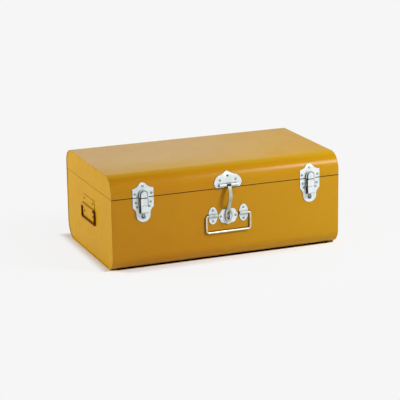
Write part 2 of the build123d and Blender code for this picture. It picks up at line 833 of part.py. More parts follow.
with BuildPart() as staple_plate:
    with BuildSketch(front_plane(0, staple_z)):
        reach_x = staple_plate_half_width - staple_lobe_radius
        reach_z = staple_plate_half_height - staple_lobe_radius
        Ellipse(reach_x + staple_lobe_radius / 2, reach_z + staple_lobe_radius / 2)
        for lobe in range(staple_lobes):
            angle = radians(lobe * 2 * half_turn / staple_lobes)
            with Locations((reach_x * cos(angle), reach_z * sin(angle))):
                Circle(staple_lobe_radius)
    extrude(amount=plate_sheet)
    drill(staple_seats)
    drill(staple_leg_seats, staple_wire_radius + assembly_play)
write_piece(staple_plate, "staple_plate")

with BuildPart() as staple:
    straight = staple_reach - staple_half_span - staple_wire_radius
    with BuildLine() as loop:
        lower = Line(
            (0, front_y + sheet + staple_clench, staple_z - staple_half_span),
            (0, front_y - straight, staple_z - staple_half_span),
        )
        upper = Line(
            (0, front_y - straight, staple_z + staple_half_span),
            (0, front_y + sheet + staple_clench, staple_z + staple_half_span),
        )
        ThreePointArc(lower @ 1, (0, front_y - straight - staple_half_span, staple_z), upper @ 0)
    sweep_wire(loop.line, staple_wire_radius)
write_piece(staple, "staple")

# ---------------------------------------------------------------- front bail and its saddles
front_bail_w = front_bail_wire_radius + bail_face_gap
saddle_channel = front_bail_wire_radius + bail_clearance
saddle_outer = saddle_channel + saddle_wall


def bail_saddle(x):
    """Oval riveted plate whose raised band holds one inturned end of the front bail."""
    with BuildPart() as saddle:
        with BuildSketch(front_plane(x, front_bail_z)):
            Ellipse(saddle_half_width, saddle_half_height)
        extrude(amount=front_bail_w + saddle_outer)
        with BuildSketch(Plane.YZ.offset(x - saddle_half_width)):
            with Locations((front_y - plate_sheet / 2, front_bail_z)):
                Rectangle(plate_sheet, 2 * saddle_half_height)
            with Locations((front_y - front_bail_w, front_bail_z)):
                Circle(saddle_outer)
            with Locations((front_y - front_bail_w / 2, front_bail_z)):
                Rectangle(front_bail_w, 2 * saddle_outer)
        extrude(amount=2 * saddle_half_width, mode=Mode.INTERSECT)
        with BuildSketch(Plane.YZ.offset(x - saddle_half_width)):
            with Locations((front_y - front_bail_w, front_bail_z)):
                Circle(saddle_channel)
            with Locations((front_y - front_bail_w / 2, front_bail_z)):
                Rectangle(front_bail_w, 2 * saddle_channel)
        extrude(amount=2 * saddle_half_width, mode=Mode.SUBTRACT)
        crown = saddle.faces().filter_by(GeomType.CYLINDER).sort_by(Axis.Y)[0]
        fillet(crown.edges().filter_by(GeomType.CIRCLE, reverse=True).filter_by(
            GeomType.LINE, reverse=True), saddle_wall / 2)
        drill([front_plane(x, front_bail_z + side * saddle_rivet_offset) for side in sides])
    return saddle


for side in sides:
    write_piece(bail_saddle(side * saddle_x), f"bail_saddle_{side_name(side)}")

with BuildPart() as front_bail:
    bail_end = saddle_x - saddle_half_width + saddle_end_inset
    bail_low_z = front_bail_z - front_bail_drop
    bail_y = front_y - front_bail_w
    with BuildLine() as bail_line:
        FilletPolyline(
            (-bail_end, bail_y, front_bail_z),
            (-front_bail_half_width, bail_y, front_bail_z),
            (-front_bail_half_width, bail_y, bail_low_z),
            (front_bail_half_width, bail_y, bail_low_z),
            (front_bail_half_width, bail_y, front_bail_z),
            (bail_end, bail_y, front_bail_z),
            radius=front_bail_bend_radius,
        )
    sweep_wire(bail_line.line, front_bail_wire_radius)
write_piece(front_bail, "front_bail")

# ---------------------------------------------------------------- end handles
side_bail_w = side_bail_wire_radius + bail_face_gap
side_channel = side_bail_wire_radius + bail_clearance
side_roll_outer = side_channel + plate_sheet


def side_plate(side):
    """Handle plate on one end: a riveted rectangle with a roll across it for the bail."""
    roll_reach = side_bail_w + side_roll_outer
    with BuildPart() as plate:
        with BuildSketch(end_plane(side, 0, side_bail_z)):
            RectangleRounded(
                2 * side_plate_half_width, 2 * side_plate_half_height, side_plate_corner_radius
            )
        extrude(amount=plate_sheet)
        run_start = end_profile(side, side_bail_z).offset(-side_plate_half_width)
        with BuildSketch(run_start):
            with Locations((side_bail_w, 0)):
                Circle(side_roll_outer)
            with Locations((side_bail_w / 2, 0)):
                Rectangle(side_bail_w, 2 * side_roll_outer)
            with Locations((roll_reach / 2, 0)):
                Rectangle(roll_reach, 2 * side_roll_outer, mode=Mode.INTERSECT)
        extrude(amount=2 * side_plate_half_width)
        with BuildSketch(run_start):
            with Locations((side_bail_w, 0)):
                Circle(side_channel)
            with Locations((side_bail_w / 2, 0)):
                Rectangle(side_bail_w, 2 * side_channel)
        extrude(amount=2 * side_plate_half_width, mode=Mode.SUBTRACT)
        drill(side_plate_seats(side))
    return plate


def side_bail(side):
    """Drop handle of one end: a rectangle of wire whose top run lies inside the roll."""
    bail_x = side * (end_face_x + side_bail_w)
    top_z = side_bail_z
    low_z = side_bail_z - side_bail_drop
    with BuildPart() as bail:
        with BuildLine() as ring:
            FilletPolyline(
                (bail_x, -side_bail_half_width, low_z),
                (bail_x, side_bail_half_width, low_z),
                (bail_x, side_bail_half_width, top_z),
                (bail_x, -side_bail_half_width, top_z),
                radius=side_bail_bend_radius,
                close=True,
            )
        sweep_wire(ring.line, side_bail_wire_radius)
    return bail


for side in sides:
    write_piece(side_plate(side), f"side_plate_{side_name(side)}")
    write_piece(side_bail(side), f"side_bail_{side_name(side)}")


# ---------------------------------------------------------------- rivets
def rivets(seats, over_plate, inner_sheet=sheet, head_radius=rivet_head_radius):
    """One solid per seat: domed head on the plate, shank through it, tail inside the sheet."""
    dome_radius = (head_radius**2 + rivet_head_height**2) / (2 * rivet_head_height)
    inner = -inner_sheet
    tail = inner - rivet_tail_height
    crown = over_plate + rivet_head_height
    with BuildPart() as group:
        for seat in seats:
            with BuildSketch(Plane(origin=seat.origin, x_dir=seat.x_dir, z_dir=-seat.y_dir)):
                with BuildLine():
                    Polyline(
                        (0, crown),
                        (0, tail),
                        (rivet_tail_radius, tail),
                        (rivet_tail_radius, inner),
                        (rivet_shank_radius, inner),
                        (rivet_shank_radius, over_plate),
                        (head_radius, over_plate),
                    )
                    RadiusArc((head_radius, over_plate), (0, crown), -dome_radius)
                make_face()
            revolve(axis=Axis(seat.origin, seat.z_dir))
    return group


spring_stack = plate_sheet + spring_sheet
curved_lid_sheet = sheet + curved_seat_relief
write_piece(rivets(latch_base_seats, plate_sheet), "rivets_latch_bases")
write_piece(
    rivets(spring_seats, spring_stack, head_radius=spring_rivet_head_radius),
    "rivets_latch_springs",
)
for keeper_side in sides:
    write_piece(
        rivets(keeper_seats(keeper_side * latch_x), plate_sheet, curved_lid_sheet),
        f"rivets_latch_keeper_{side_name(keeper_side)}",
    )
write_piece(rivets(hasp_seats, plate_sheet, curved_lid_sheet), "rivets_hasp_plate")
write_piece(rivets(staple_seats, plate_sheet), "rivets_staple_plate")
write_piece(rivets(saddle_seats, plate_sheet), "rivets_bail_saddles")
for plate_side in sides:
    write_piece(
        rivets(side_plate_seats(plate_side), plate_sheet),
        f"rivets_side_plate_{side_name(plate_side)}",
    )
write_piece(rivets(hinge_body_seats, hinge_leaf_sheet), "rivets_hinge_body")
write_piece(rivets(hinge_lid_seats, hinge_leaf_sheet), "rivets_hinge_lid")
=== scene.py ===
"""A small tin trunk: mustard enamel shell, zinc latches and hasp, wire handles.

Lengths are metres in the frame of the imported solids: X along the trunk, Y to the rear and Z up.
Sizes written with the suffix MM are millimetres, turned to metres where they are used.
"""

import json
import logging
import math
from collections.abc import Callable, Iterable, Sequence
from dataclasses import dataclass
from enum import Enum
from functools import cached_property, reduce

import bmesh
import bpy
from mathutils import Matrix, Vector

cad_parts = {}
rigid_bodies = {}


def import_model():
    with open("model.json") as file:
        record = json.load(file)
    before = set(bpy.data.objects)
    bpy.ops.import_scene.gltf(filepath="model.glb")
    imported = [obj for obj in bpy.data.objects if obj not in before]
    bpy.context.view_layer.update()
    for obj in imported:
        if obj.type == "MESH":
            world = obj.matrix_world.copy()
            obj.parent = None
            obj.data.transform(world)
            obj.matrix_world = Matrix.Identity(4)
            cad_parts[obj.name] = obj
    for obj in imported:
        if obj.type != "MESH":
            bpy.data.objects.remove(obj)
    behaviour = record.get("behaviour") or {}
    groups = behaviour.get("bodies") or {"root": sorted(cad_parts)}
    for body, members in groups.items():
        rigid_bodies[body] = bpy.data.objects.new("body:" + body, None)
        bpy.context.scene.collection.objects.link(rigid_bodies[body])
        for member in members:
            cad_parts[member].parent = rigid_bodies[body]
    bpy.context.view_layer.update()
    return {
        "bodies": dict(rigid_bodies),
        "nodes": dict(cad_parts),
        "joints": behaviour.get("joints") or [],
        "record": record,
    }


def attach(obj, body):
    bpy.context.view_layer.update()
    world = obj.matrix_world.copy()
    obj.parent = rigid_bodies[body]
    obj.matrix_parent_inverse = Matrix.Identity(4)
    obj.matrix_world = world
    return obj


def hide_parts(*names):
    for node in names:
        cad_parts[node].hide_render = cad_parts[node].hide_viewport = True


LOG = logging.getLogger("tin_trunk")
MM = 0.001
LEFT_AND_RIGHT = (-1, 1)
LATCH_X = 183 * MM
SHEET = 0.8 * MM
PLATE = 1.0 * MM
WELD_REACH = 0.001 * MM
PAPER_TONE = 0.922

Colour = tuple[float, float, float]
Point = tuple[float, float]
Place = tuple[float, float, float]


def side_name(side: int) -> str:
    """Returns the word for a side of the trunk, -1 for left and 1 for right."""
    return "left" if side < 0 else "right"


# ------------------------------------------------------------------------------ finishes


@dataclass(frozen=True)
class Mask:
    """A mask that eases from 0 at one reading to its share at another, which may be the lower one."""

    start: float
    whole: float
    share: float = 1.0


class Reading:
    """A number that a finish works out at each point of a surface."""

    def __init__(self, recipe: "Recipe", socket: bpy.types.NodeSocket) -> None:
        """Keeps the recipe the number belongs to and the socket that gives it."""
        self.recipe = recipe
        self.socket = socket

    def __add__(self, other: "Reading | float") -> "Reading":
        """Returns the sum of this and other."""
        return self.recipe.number("ADD", self, other)

    def __radd__(self, other: float) -> "Reading":
        """Returns the sum of other and this."""
        return self.recipe.number("ADD", other, self)

    def __sub__(self, other: "Reading | float") -> "Reading":
        """Returns this less other."""
        return self.recipe.number("SUBTRACT", self, other)

    def __rsub__(self, other: float) -> "Reading":
        """Returns other less this."""
        return self.recipe.number("SUBTRACT", other, self)

    def __mul__(self, other: "Reading | float") -> "Reading":
        """Returns the product of this and other."""
        return self.recipe.number("MULTIPLY", self, other)

    def __rmul__(self, other: float) -> "Reading":
        """Returns the product of other and this."""
        return self.recipe.number("MULTIPLY", other, self)

    def __abs__(self) -> "Reading":
        """Returns the size of this, without its sign."""
        return self.recipe.number("ABSOLUTE", self)

    def masked(self, mask: Mask) -> "Reading":
        """Turns this into a mask.

        Args:
            mask: the readings that it eases between, and its share.

        Returns:
            The mask, from 0 to its share.
        """
        sockets = {"Value": self, "From Min": mask.start, "From Max": mask.whole, "To Max": mask.share}
        made = self.recipe.node("ShaderNodeMapRange", {"interpolation_type": "SMOOTHSTEP"}, sockets)
        return Reading(self.recipe, made.outputs["Result"])


@dataclass(frozen=True)
class Cloud:
    """A soft random pattern.

    It has the length of one blotch in metres, how many finer layers lie on it, the mask that is made
    of it, if any, and how much it is squeezed along each axis.
    """

    size: float
    detail: float
    mask: Mask | None = None
    squeeze: Place = (1.0, 1.0, 1.0)


class Recipe:
    """The nodes of a material or of the world, and the short words that finishes are written in."""

    def __init__(self, owner: bpy.types.Material | bpy.types.World) -> None:
        """Opens the node tree of a new material or world.

        Args:
            owner: the material or the world. Its tree is emptied.
        """
        owner.use_nodes = True
        self.owner = owner
        self.tree = owner.node_tree
        self.tree.nodes.clear()

    def node(self, kind: str, settings: dict | None = None, sockets: dict | None = None) -> bpy.types.Node:
        """Adds one node.

        Args:
            kind: the node's type.
            settings: its own settings, set before its sockets.
            sockets: a value or a link for each named or numbered input.

        Returns:
            The new node.
        """
        made = self.tree.nodes.new(kind)
        for name, value in (settings or {}).items():
            setattr(made, name, value)
        for key, value in (sockets or {}).items():
            source = value.socket if isinstance(value, Reading) else value
            if isinstance(source, bpy.types.NodeSocket):
                self.tree.links.new(source, made.inputs[key])
            else:
                made.inputs[key].default_value = source
        return made

    @cached_property
    def place(self) -> bpy.types.NodeSocket:
        """Returns the place on the object, in metres."""
        return self.node("ShaderNodeTexCoord").outputs["Object"]

    def number(self, operation: str, *values: "Reading | float") -> Reading:
        """Adds a Math node on its values and returns its result."""
        made = self.node("ShaderNodeMath", {"operation": operation}, dict(enumerate(values)))
        return Reading(self, made.outputs[0])

    def highest(self, *readings: Reading) -> Reading:
        """Returns the highest of the readings at each point."""
        return reduce(lambda one, other: self.number("MAXIMUM", one, other), readings)

    def along(self, axis: str) -> Reading:
        """Returns the place along X, Y or Z, in metres."""
        return Reading(self, self.node("ShaderNodeSeparateXYZ", None, {0: self.place}).outputs[axis])

    def facing(self, axis: str) -> Reading:
        """Returns how far the surface faces along X, Y or Z, from -1 to 1."""
        normal = self.node("ShaderNodeTexCoord").outputs["Normal"]
        return Reading(self, self.node("ShaderNodeSeparateXYZ", None, {0: normal}).outputs[axis])

    def seen(self) -> Reading:
        """Tells the rays that see a surface from those that it lights.

        Returns:
            1 where the surface is seen, also in gloss or through glass, and 0 where it lights.
        """
        paths = self.node("ShaderNodeLightPath").outputs
        rays = ("Is Camera Ray", "Is Glossy Ray", "Is Transmission Ray")
        return self.highest(*(Reading(self, paths[ray]) for ray in rays))

    def recess(self, reach: float) -> Reading:
        """Returns a mask of corners and crevices no wider than a reach, in metres."""
        made = self.node("ShaderNodeAmbientOcclusion", {"samples": 8}, {"Distance": reach})
        return 1 - Reading(self, made.outputs["AO"])

    def cloud(self, pattern: Cloud) -> Reading:
        """Adds a soft random pattern.

        Args:
            pattern: its size, detail, mask and squeeze.

        Returns:
            The mask that it asks for, or else the plain pattern, about 0.5 on average.
        """
        sockets = {0: self.place, 1: pattern.squeeze}
        squeezed = self.node("ShaderNodeVectorMath", {"operation": "MULTIPLY"}, sockets)
        sockets = {"Vector": squeezed.outputs[0], "Scale": 1.0 / pattern.size, "Detail": pattern.detail}
        made = Reading(self, self.node("ShaderNodeTexNoise", None, sockets).outputs["Fac"])
        return made.masked(pattern.mask) if pattern.mask else made

    def cells(self, size: float) -> Reading:
        """Returns the distance from the nearest of points strewn about one size apart, in sizes."""
        sockets = {"Vector": self.place, "Scale": 1.0 / size}
        return Reading(self, self.node("ShaderNodeTexVoronoi", None, sockets).outputs["Distance"])

    def tint(self, mask: "Reading | float", first: object, second: object) -> bpy.types.NodeSocket:
        """Mixes two colours.

        Args:
            mask: 0 for the first colour and 1 for the second.
            first: a colour or a link to one.
            second: a colour or a link to one.

        Returns:
            The mixed colour.
        """
        colours = [(*c, 1.0) if isinstance(c, tuple) else c for c in (first, second)]
        sockets = {0: mask, 6: colours[0], 7: colours[1]}
        return self.node("ShaderNodeMix", {"data_type": "RGBA"}, sockets).outputs[2]

    def relief(
        self, height: Reading, depth: float, under: bpy.types.NodeSocket | None = None
    ) -> bpy.types.NodeSocket:
        """Turns a pattern into small relief.

        Args:
            height: the pattern, from 0 to 1.
            depth: how deep it is, in metres.
            under: the relief that it lies on, if any.

        Returns:
            The normal of the surface with its relief.
        """
        sockets = {"Height": height, "Distance": depth, "Strength": 1.0}
        if under is not None:
            sockets["Normal"] = under
        return self.node("ShaderNodeBump", None, sockets).outputs["Normal"]

    def close(self, surface: dict) -> bpy.types.Material:
        """Puts a Principled surface on the material.

        Args:
            surface: a value or a link for each socket.

        Returns:
            The finished material.
        """
        shader = self.node("ShaderNodeBsdfPrincipled", None, surface)
        self.node("ShaderNodeOutputMaterial", None, {"Surface": shader.outputs["BSDF"]})
        return self.owner


@dataclass(frozen=True)
class MustardEnamel:
    """Stoved enamel on tinplate with faint dents. Painted light pales the lid's top, the ends and the front
    toward the right, and warms the top where its lacquer wears; painted shade darkens the folds and the
    seam.
    """

    name: str = "mustard_enamel"
    fresh: Colour = (0.470, 0.205, 0.0045)
    pale_tone_and_painted_light: Colour = (0.480, 0.262, 0.0065)
    painted_warm_light: Colour = (0.600, 0.335, 0.0080)
    enamel_painted_shade: Colour = (0.050, 0.016, 0.002)
    lid_top: Mask = Mask(0.75, 1.0)
    upper_side: Mask = Mask(0.35, 0.75)
    end_side: Mask = Mask(0.7, 1.0)
    rear_side: Mask = Mask(0.0, 0.5)
    left_to_right: Mask = Mask(-0.25, 0.25)
    top_painted_light: float = 0.95
    ends_painted_light: float = 0.85
    front_painted_light: float = 0.55
    drift: Cloud = Cloud(0.14, 2.0, Mask(0.35, 0.68, 0.25))
    mottle: Cloud = Cloud(0.011, 4.0, Mask(0.56, 0.72, 0.10))
    wear_and_painted_light_front: Mask = Mask(-0.02, -0.12, 0.55)
    wear_and_painted_light_right: Mask = Mask(-0.06, 0.20, 0.50)
    painted_light_on_top: Mask = Mask(0.80, 1.0, 0.70)
    fold_reach: float = 0.0030
    fold: Mask = Mask(0.08, 0.34)
    fold_painted_shade: float = 0.75
    fold_dulls: float = 0.3
    seam: float = 0.150
    seam_painted_shade: Mask = Mask(0.0012, 0.0006, 0.9)
    ends_less_shade: float = 0.75
    wave: Cloud = Cloud(0.075, 1.0)
    wave_depth: float = 0.0016
    dimple_size: float = 0.055
    dimple: Mask = Mask(0.10, 0.02)
    dimple_depth: float = 0.00035
    skin: Cloud = Cloud(0.0016, 1.0)
    skin_depth: float = 0.00001
    smudge: Cloud = Cloud(0.035, 5.0, Mask(0.42, 0.72))
    smudge_dulls: float = 0.07
    polish: float = 0.24
    gloss: float = 0.01
    coat: float = 0.75
    coat_index: float = 1.25
    upper_uncoated: float = 0.26
    worn_uncoated: float = 0.58
    others_uncoated: float = 0.65
    smudge_uncoated: float = 0.03

    def painted_lightening(self, recipe: Recipe, ends: Reading) -> Reading:
        """Paints light on the lid's top and the ends, and on the front toward the right.

        Args:
            recipe: the recipe being written.
            ends: the mask of the two ends.

        Returns:
            How much painted light pales the surface.
        """
        top = recipe.facing("Z").masked(self.lid_top)
        front = (1 - top) * (1 - ends) * recipe.along("X").masked(self.left_to_right)
        return top * self.top_painted_light + ends * self.ends_painted_light + front * self.front_painted_light

    def wear_and_painted_light(self, recipe: Recipe, upward: Reading) -> Reading:
        """Wears the lacquer over the top, more toward the front edge and the right; the same mask warms the
        colour there as painted light.

        Args:
            recipe: the recipe being written.
            upward: the mask of what faces up.

        Returns:
            How far the lacquer has thinned, which also sets the painted light.
        """
        front = recipe.along("Y").masked(self.wear_and_painted_light_front)
        right = recipe.along("X").masked(self.wear_and_painted_light_right)
        return upward * (front + right - front * right)

    def relief(self, recipe: Recipe) -> bpy.types.NodeSocket:
        """Adds soft waves, shallow dimples and the fine skin of stoved enamel.

        Args:
            recipe: the recipe being written.

        Returns:
            The normal of the surface with its relief.
        """
        surface = recipe.relief(recipe.cloud(self.wave), self.wave_depth)
        dimple = recipe.cells(self.dimple_size).masked(self.dimple)
        surface = recipe.relief(1 - dimple, self.dimple_depth, surface)
        return recipe.relief(recipe.cloud(self.skin), self.skin_depth, surface)

    def mix(self) -> bpy.types.Material:
        """Mixes the finish.

        Returns:
            The finished material.
        """
        recipe = Recipe(bpy.data.materials.new(self.name))
        upward = recipe.facing("Z").masked(self.upper_side)
        ends = abs(recipe.facing("X")).masked(self.end_side)
        others = recipe.highest(ends, recipe.facing("Y").masked(self.rear_side) * (1 - upward))
        wear_and_painted_light = self.wear_and_painted_light(recipe, upward)
        # Painted shade: the occlusion mask darkens the folds, the rim steps and the edges around the
        # fittings.
        fold = recipe.recess(self.fold_reach).masked(self.fold)
        smudge = recipe.cloud(self.smudge)
        uneven = recipe.cloud(self.drift) - self.drift.mask.share / 2 + recipe.cloud(self.mottle)
        # Painted light: the top, the ends and the right of the front are tinted paler; the clouds add
        # random pale tone.
        body = recipe.tint(self.painted_lightening(recipe, ends) + uneven, self.fresh, self.pale_tone_and_painted_light)
        # Painted light: where the top's lacquer wears, the colour is tinted warmer and brighter.
        body = recipe.tint(wear_and_painted_light * recipe.facing("Z").masked(self.painted_light_on_top), body, self.painted_warm_light)
        # Painted shade in the seam gap between lid and body; all painted shade is weaker on the ends.
        seam_shade = abs(recipe.along("Z") - self.seam).masked(self.seam_painted_shade)
        enamel_shade_mask = recipe.highest(fold * self.fold_painted_shade, seam_shade) * (1 - ends * self.ends_less_shade)
        coat = self.coat - upward * self.upper_uncoated - wear_and_painted_light * self.worn_uncoated
        return recipe.close(
            {
                "Base Color": recipe.tint(enamel_shade_mask, body, self.enamel_painted_shade),
                "Roughness": self.polish + smudge * self.smudge_dulls + fold * self.fold_dulls,
                "Normal": self.relief(recipe),
                "Specular IOR Level": self.gloss,
                "Coat Weight": coat - others * self.others_uncoated - smudge * self.smudge_uncoated,
                "Coat Roughness": self.polish,
                "Coat IOR": self.coat_index,
            }
        )


@dataclass(frozen=True)
class ZincPlate:
    """Zinc on pressed steel: faint tints, dark specks and scratches on the flats, and painted shade on the
    flanks, undersides, upward tilts, corners and hollows.

    Folds are heights of painted shade lines. Slots and patches, also painted shade, are places given as a
    distance from the middle of the trunk and a height.
    """

    name: str = "zinc_plated"
    bright: Colour = (0.76, 0.81, 0.80)
    blue: Colour = (0.60, 0.69, 0.71)
    straw: Colour = (0.78, 0.78, 0.70)
    dark_speck_and_painted_shade: Colour = (0.012, 0.015, 0.018)
    proud_tone: Colour = (0.40, 0.43, 0.40)
    metallic: float = 0.35
    polish: float = 0.36
    gloss: float = 0.1
    flank: Mask = Mask(0.55, 0.95, 0.85)
    under: Mask = Mask(0.40, 0.90, 0.75)
    tilt: Mask = Mask(0.03, 0.40, 0.28)
    crevice_reach: float = 0.0026
    crevice: Mask = Mask(0.22, 0.70, 0.95)
    hollow_reach: float = 0.009
    hollow: Mask = Mask(0.50, 0.88, 0.95)
    folds: tuple[float, ...] = ()
    fold: Mask = Mask(0.0007, 0.0003, 0.6)
    slots: Point | None = None
    slot: Mask = Mask(0.0012, 0.0006)
    patches: tuple[tuple[Point, Point], ...] = ()
    patch_edge: float = 0.0004
    patch_share: float = 0.95
    proud_face: float | None = None
    proud: Mask = Mask(0.0, 0.0012)
    proud_share: float = 0.55
    proud_cool_share: float = 0.45
    cool: Cloud = Cloud(0.014, 2.0, Mask(0.42, 0.70))
    cool_share: float = 0.7
    cool_dulls: float = 0.06
    bloom: Cloud = Cloud(0.022, 2.0, Mask(0.55, 0.75, 0.4), (1.0, 1.0, 1.6))
    speck: Cloud = Cloud(0.0021, 4.0, Mask(0.60, 0.72, 0.2))
    dull_roughens: float = 0.3
    ripple: Cloud = Cloud(0.006, 2.0)
    ripple_depth: float = 0.00010
    scratch: Cloud = Cloud(0.0012, 2.0, None, (0.12, 1.0, 1.0))
    scratch_depth: float = 0.000008

    def patch(self, recipe: Recipe, centre: Point, half: Point) -> Reading:
        """Returns the mask of a painted shade patch on the left and its mirror image on the right.

        Args:
            recipe: the recipe being written.
            centre: the patch's distance from the middle of the trunk and its height.
            half: half its width and half its height.

        Returns:
            The mask, from 0 to the share of a patch.
        """
        soft = self.patch_edge
        places = (abs(recipe.along("X")), recipe.along("Z"))
        across, up = (
            abs(place - middle).masked(Mask(reach + soft, reach - soft))
            for place, middle, reach in zip(places, centre, half)
        )
        return across * up * self.patch_share

    def painted_shade_places(self, recipe: Recipe) -> Reading:
        """Finds where shade is painted: the flanks, the undersides, upward tilts, the corners, the hollows,
        the pressed folds, the slots and the patches.

        Args:
            recipe: the recipe being written.

        Returns:
            The mask of painted shade.
        """
        masks = [
            abs(recipe.facing("X")).masked(self.flank),
            (0 - recipe.facing("Z")).masked(self.under),
            recipe.facing("Z").masked(self.tilt),
            recipe.recess(self.crevice_reach).masked(self.crevice),
            recipe.recess(self.hollow_reach).masked(self.hollow),
        ]
        masks += [abs(recipe.along("Z") - fold).masked(self.fold) for fold in self.folds]
        if self.slots is not None:
            x, z = self.slots
            across = recipe.number("WRAP", recipe.along("X"), 2 * x, 0.0) - x
            masks.append(abs(across - (recipe.along("Z") - z)).masked(self.slot))
        masks += [self.patch(recipe, *patch) for patch in self.patches]
        return recipe.highest(*masks)

    def mix(self) -> bpy.types.Material:
        """Mixes the finish.

        Returns:
            The finished material.
        """
        recipe = Recipe(bpy.data.materials.new(self.name))
        cool = recipe.cloud(self.cool)
        speck = recipe.cloud(self.speck)
        metal = recipe.tint(cool * self.cool_share, self.bright, self.blue)
        metal = recipe.tint(recipe.cloud(self.bloom), metal, self.straw)
        # Random dark specks of the zinc itself.
        metal = recipe.tint(speck, metal, self.dark_speck_and_painted_shade)
        # Parts standing proud of the front face are tinted greyer.
        if self.proud_face is not None:
            proud_greying = (self.proud_face - recipe.along("Y")).masked(self.proud)
            proud_greying = proud_greying * (self.proud_share + cool * self.proud_cool_share)
            metal = recipe.tint(proud_greying, metal, self.proud_tone)
        # Painted shade: these places are darkened, and made rougher and less metallic.
        zinc_painted_shade_mask = self.painted_shade_places(recipe)
        surface = recipe.relief(recipe.cloud(self.ripple), self.ripple_depth)
        rough = self.polish + speck + cool * self.cool_dulls
        return recipe.close(
            {
                "Base Color": recipe.tint(zinc_painted_shade_mask, metal, self.dark_speck_and_painted_shade),
                "Metallic": (1 - zinc_painted_shade_mask) * self.metallic,
                "Roughness": rough + zinc_painted_shade_mask * self.dull_roughens,
                "Normal": recipe.relief(recipe.cloud(self.scratch), self.scratch_depth, surface),
                "Specular IOR Level": self.gloss,
            }
        )


@dataclass(frozen=True)
class DrawnWire:
    """Drawn steel wire under a thin coat, blotched and streaked, with painted shade in its corners."""

    name: str
    bright: Colour
    dark: Colour
    metallic: float
    polish: float
    gloss: float = 0.5
    blotch: Cloud = Cloud(0.009, 4.0, Mask(0.40, 0.70))
    blotch_share: float = 0.6
    blotch_dulls: float = 0.12
    fine: Cloud = Cloud(0.0011, 3.0)
    streak: Mask = Mask(0.58, 0.70, 0.5)
    fine_depth: float = 0.00003
    corner_shade_reach: float = 0.003
    corner: Mask = Mask(0.35, 0.9, 0.7)
    corner_shade_tone: float = 0.25

    def mix(self) -> bpy.types.Material:
        """Mixes the finish.

        Returns:
            The finished material.
        """
        recipe = Recipe(bpy.data.materials.new(self.name))
        blotch = recipe.cloud(self.blotch)
        fine = recipe.cloud(self.fine)
        # Painted shade: the occlusion mask darkens the wire where it meets other parts.
        corner = recipe.recess(self.corner_shade_reach).masked(self.corner)
        metal = recipe.tint(blotch * self.blotch_share, self.bright, self.dark)
        metal = recipe.tint(fine.masked(self.streak), metal, self.dark)
        metal = recipe.tint(corner, metal, tuple(self.corner_shade_tone * part for part in self.dark))
        return recipe.close(
            {
                "Base Color": metal,
                "Metallic": self.metallic,
                "Roughness": self.polish + blotch * self.blotch_dulls,
                "Normal": recipe.relief(fine, self.fine_depth),
                "Specular IOR Level": self.gloss,
            }
        )


@dataclass(frozen=True)
class StudioFloor:
    """Pale sweep: lit close to the trunk, a plain even tone further off, and a painted shadow under the
    trunk's curved bottom edge.

    The distances are measured outward from the edge of the trunk's footprint.
    """

    name: str = "studio_floor"
    shade: Colour = (0.030, 0.014, 0.006)
    footprint: Point = (0.25, 0.1485)
    touch: Mask = Mask(-0.011, -0.018)
    near: Mask = Mask(0.0, 0.024, 0.91)
    far: Mask = Mask(0.024, 0.35, 0.09)
    grain: Cloud = Cloud(0.3, 2.0)
    grain_share: float = 0.02
    grain_tone: float = 0.97

    def mix(self) -> bpy.types.Material:
        """Mixes the finish.

        Returns:
            The finished material.
        """
        recipe = Recipe(bpy.data.materials.new(self.name))
        away = recipe.highest(*(abs(recipe.along(axis)) - half for axis, half in zip("XY", self.footprint)))
        share = away.masked(self.near) + away.masked(self.far)
        tones = [(PAPER_TONE * part,) * 3 for part in (1.0, self.grain_tone)]
        lit = recipe.tint(recipe.cloud(self.grain) * self.grain_share, *tones)
        # Painted shadow: the floor under the trunk's curved bottom edge is darkened.
        lit = recipe.tint(away.masked(self.touch), lit, self.shade)
        paper = recipe.node("ShaderNodeBsdfDiffuse", None, {"Color": lit})
        even = recipe.node("ShaderNodeEmission", None, {"Color": (*tones[0], 1.0)})
        sockets = {0: share * recipe.seen(), 1: paper.outputs[0], 2: even.outputs[0]}
        mixed = recipe.node("ShaderNodeMixShader", None, sockets)
        recipe.node("ShaderNodeOutputMaterial", None, {"Surface": mixed.outputs[0]})
        return recipe.owner


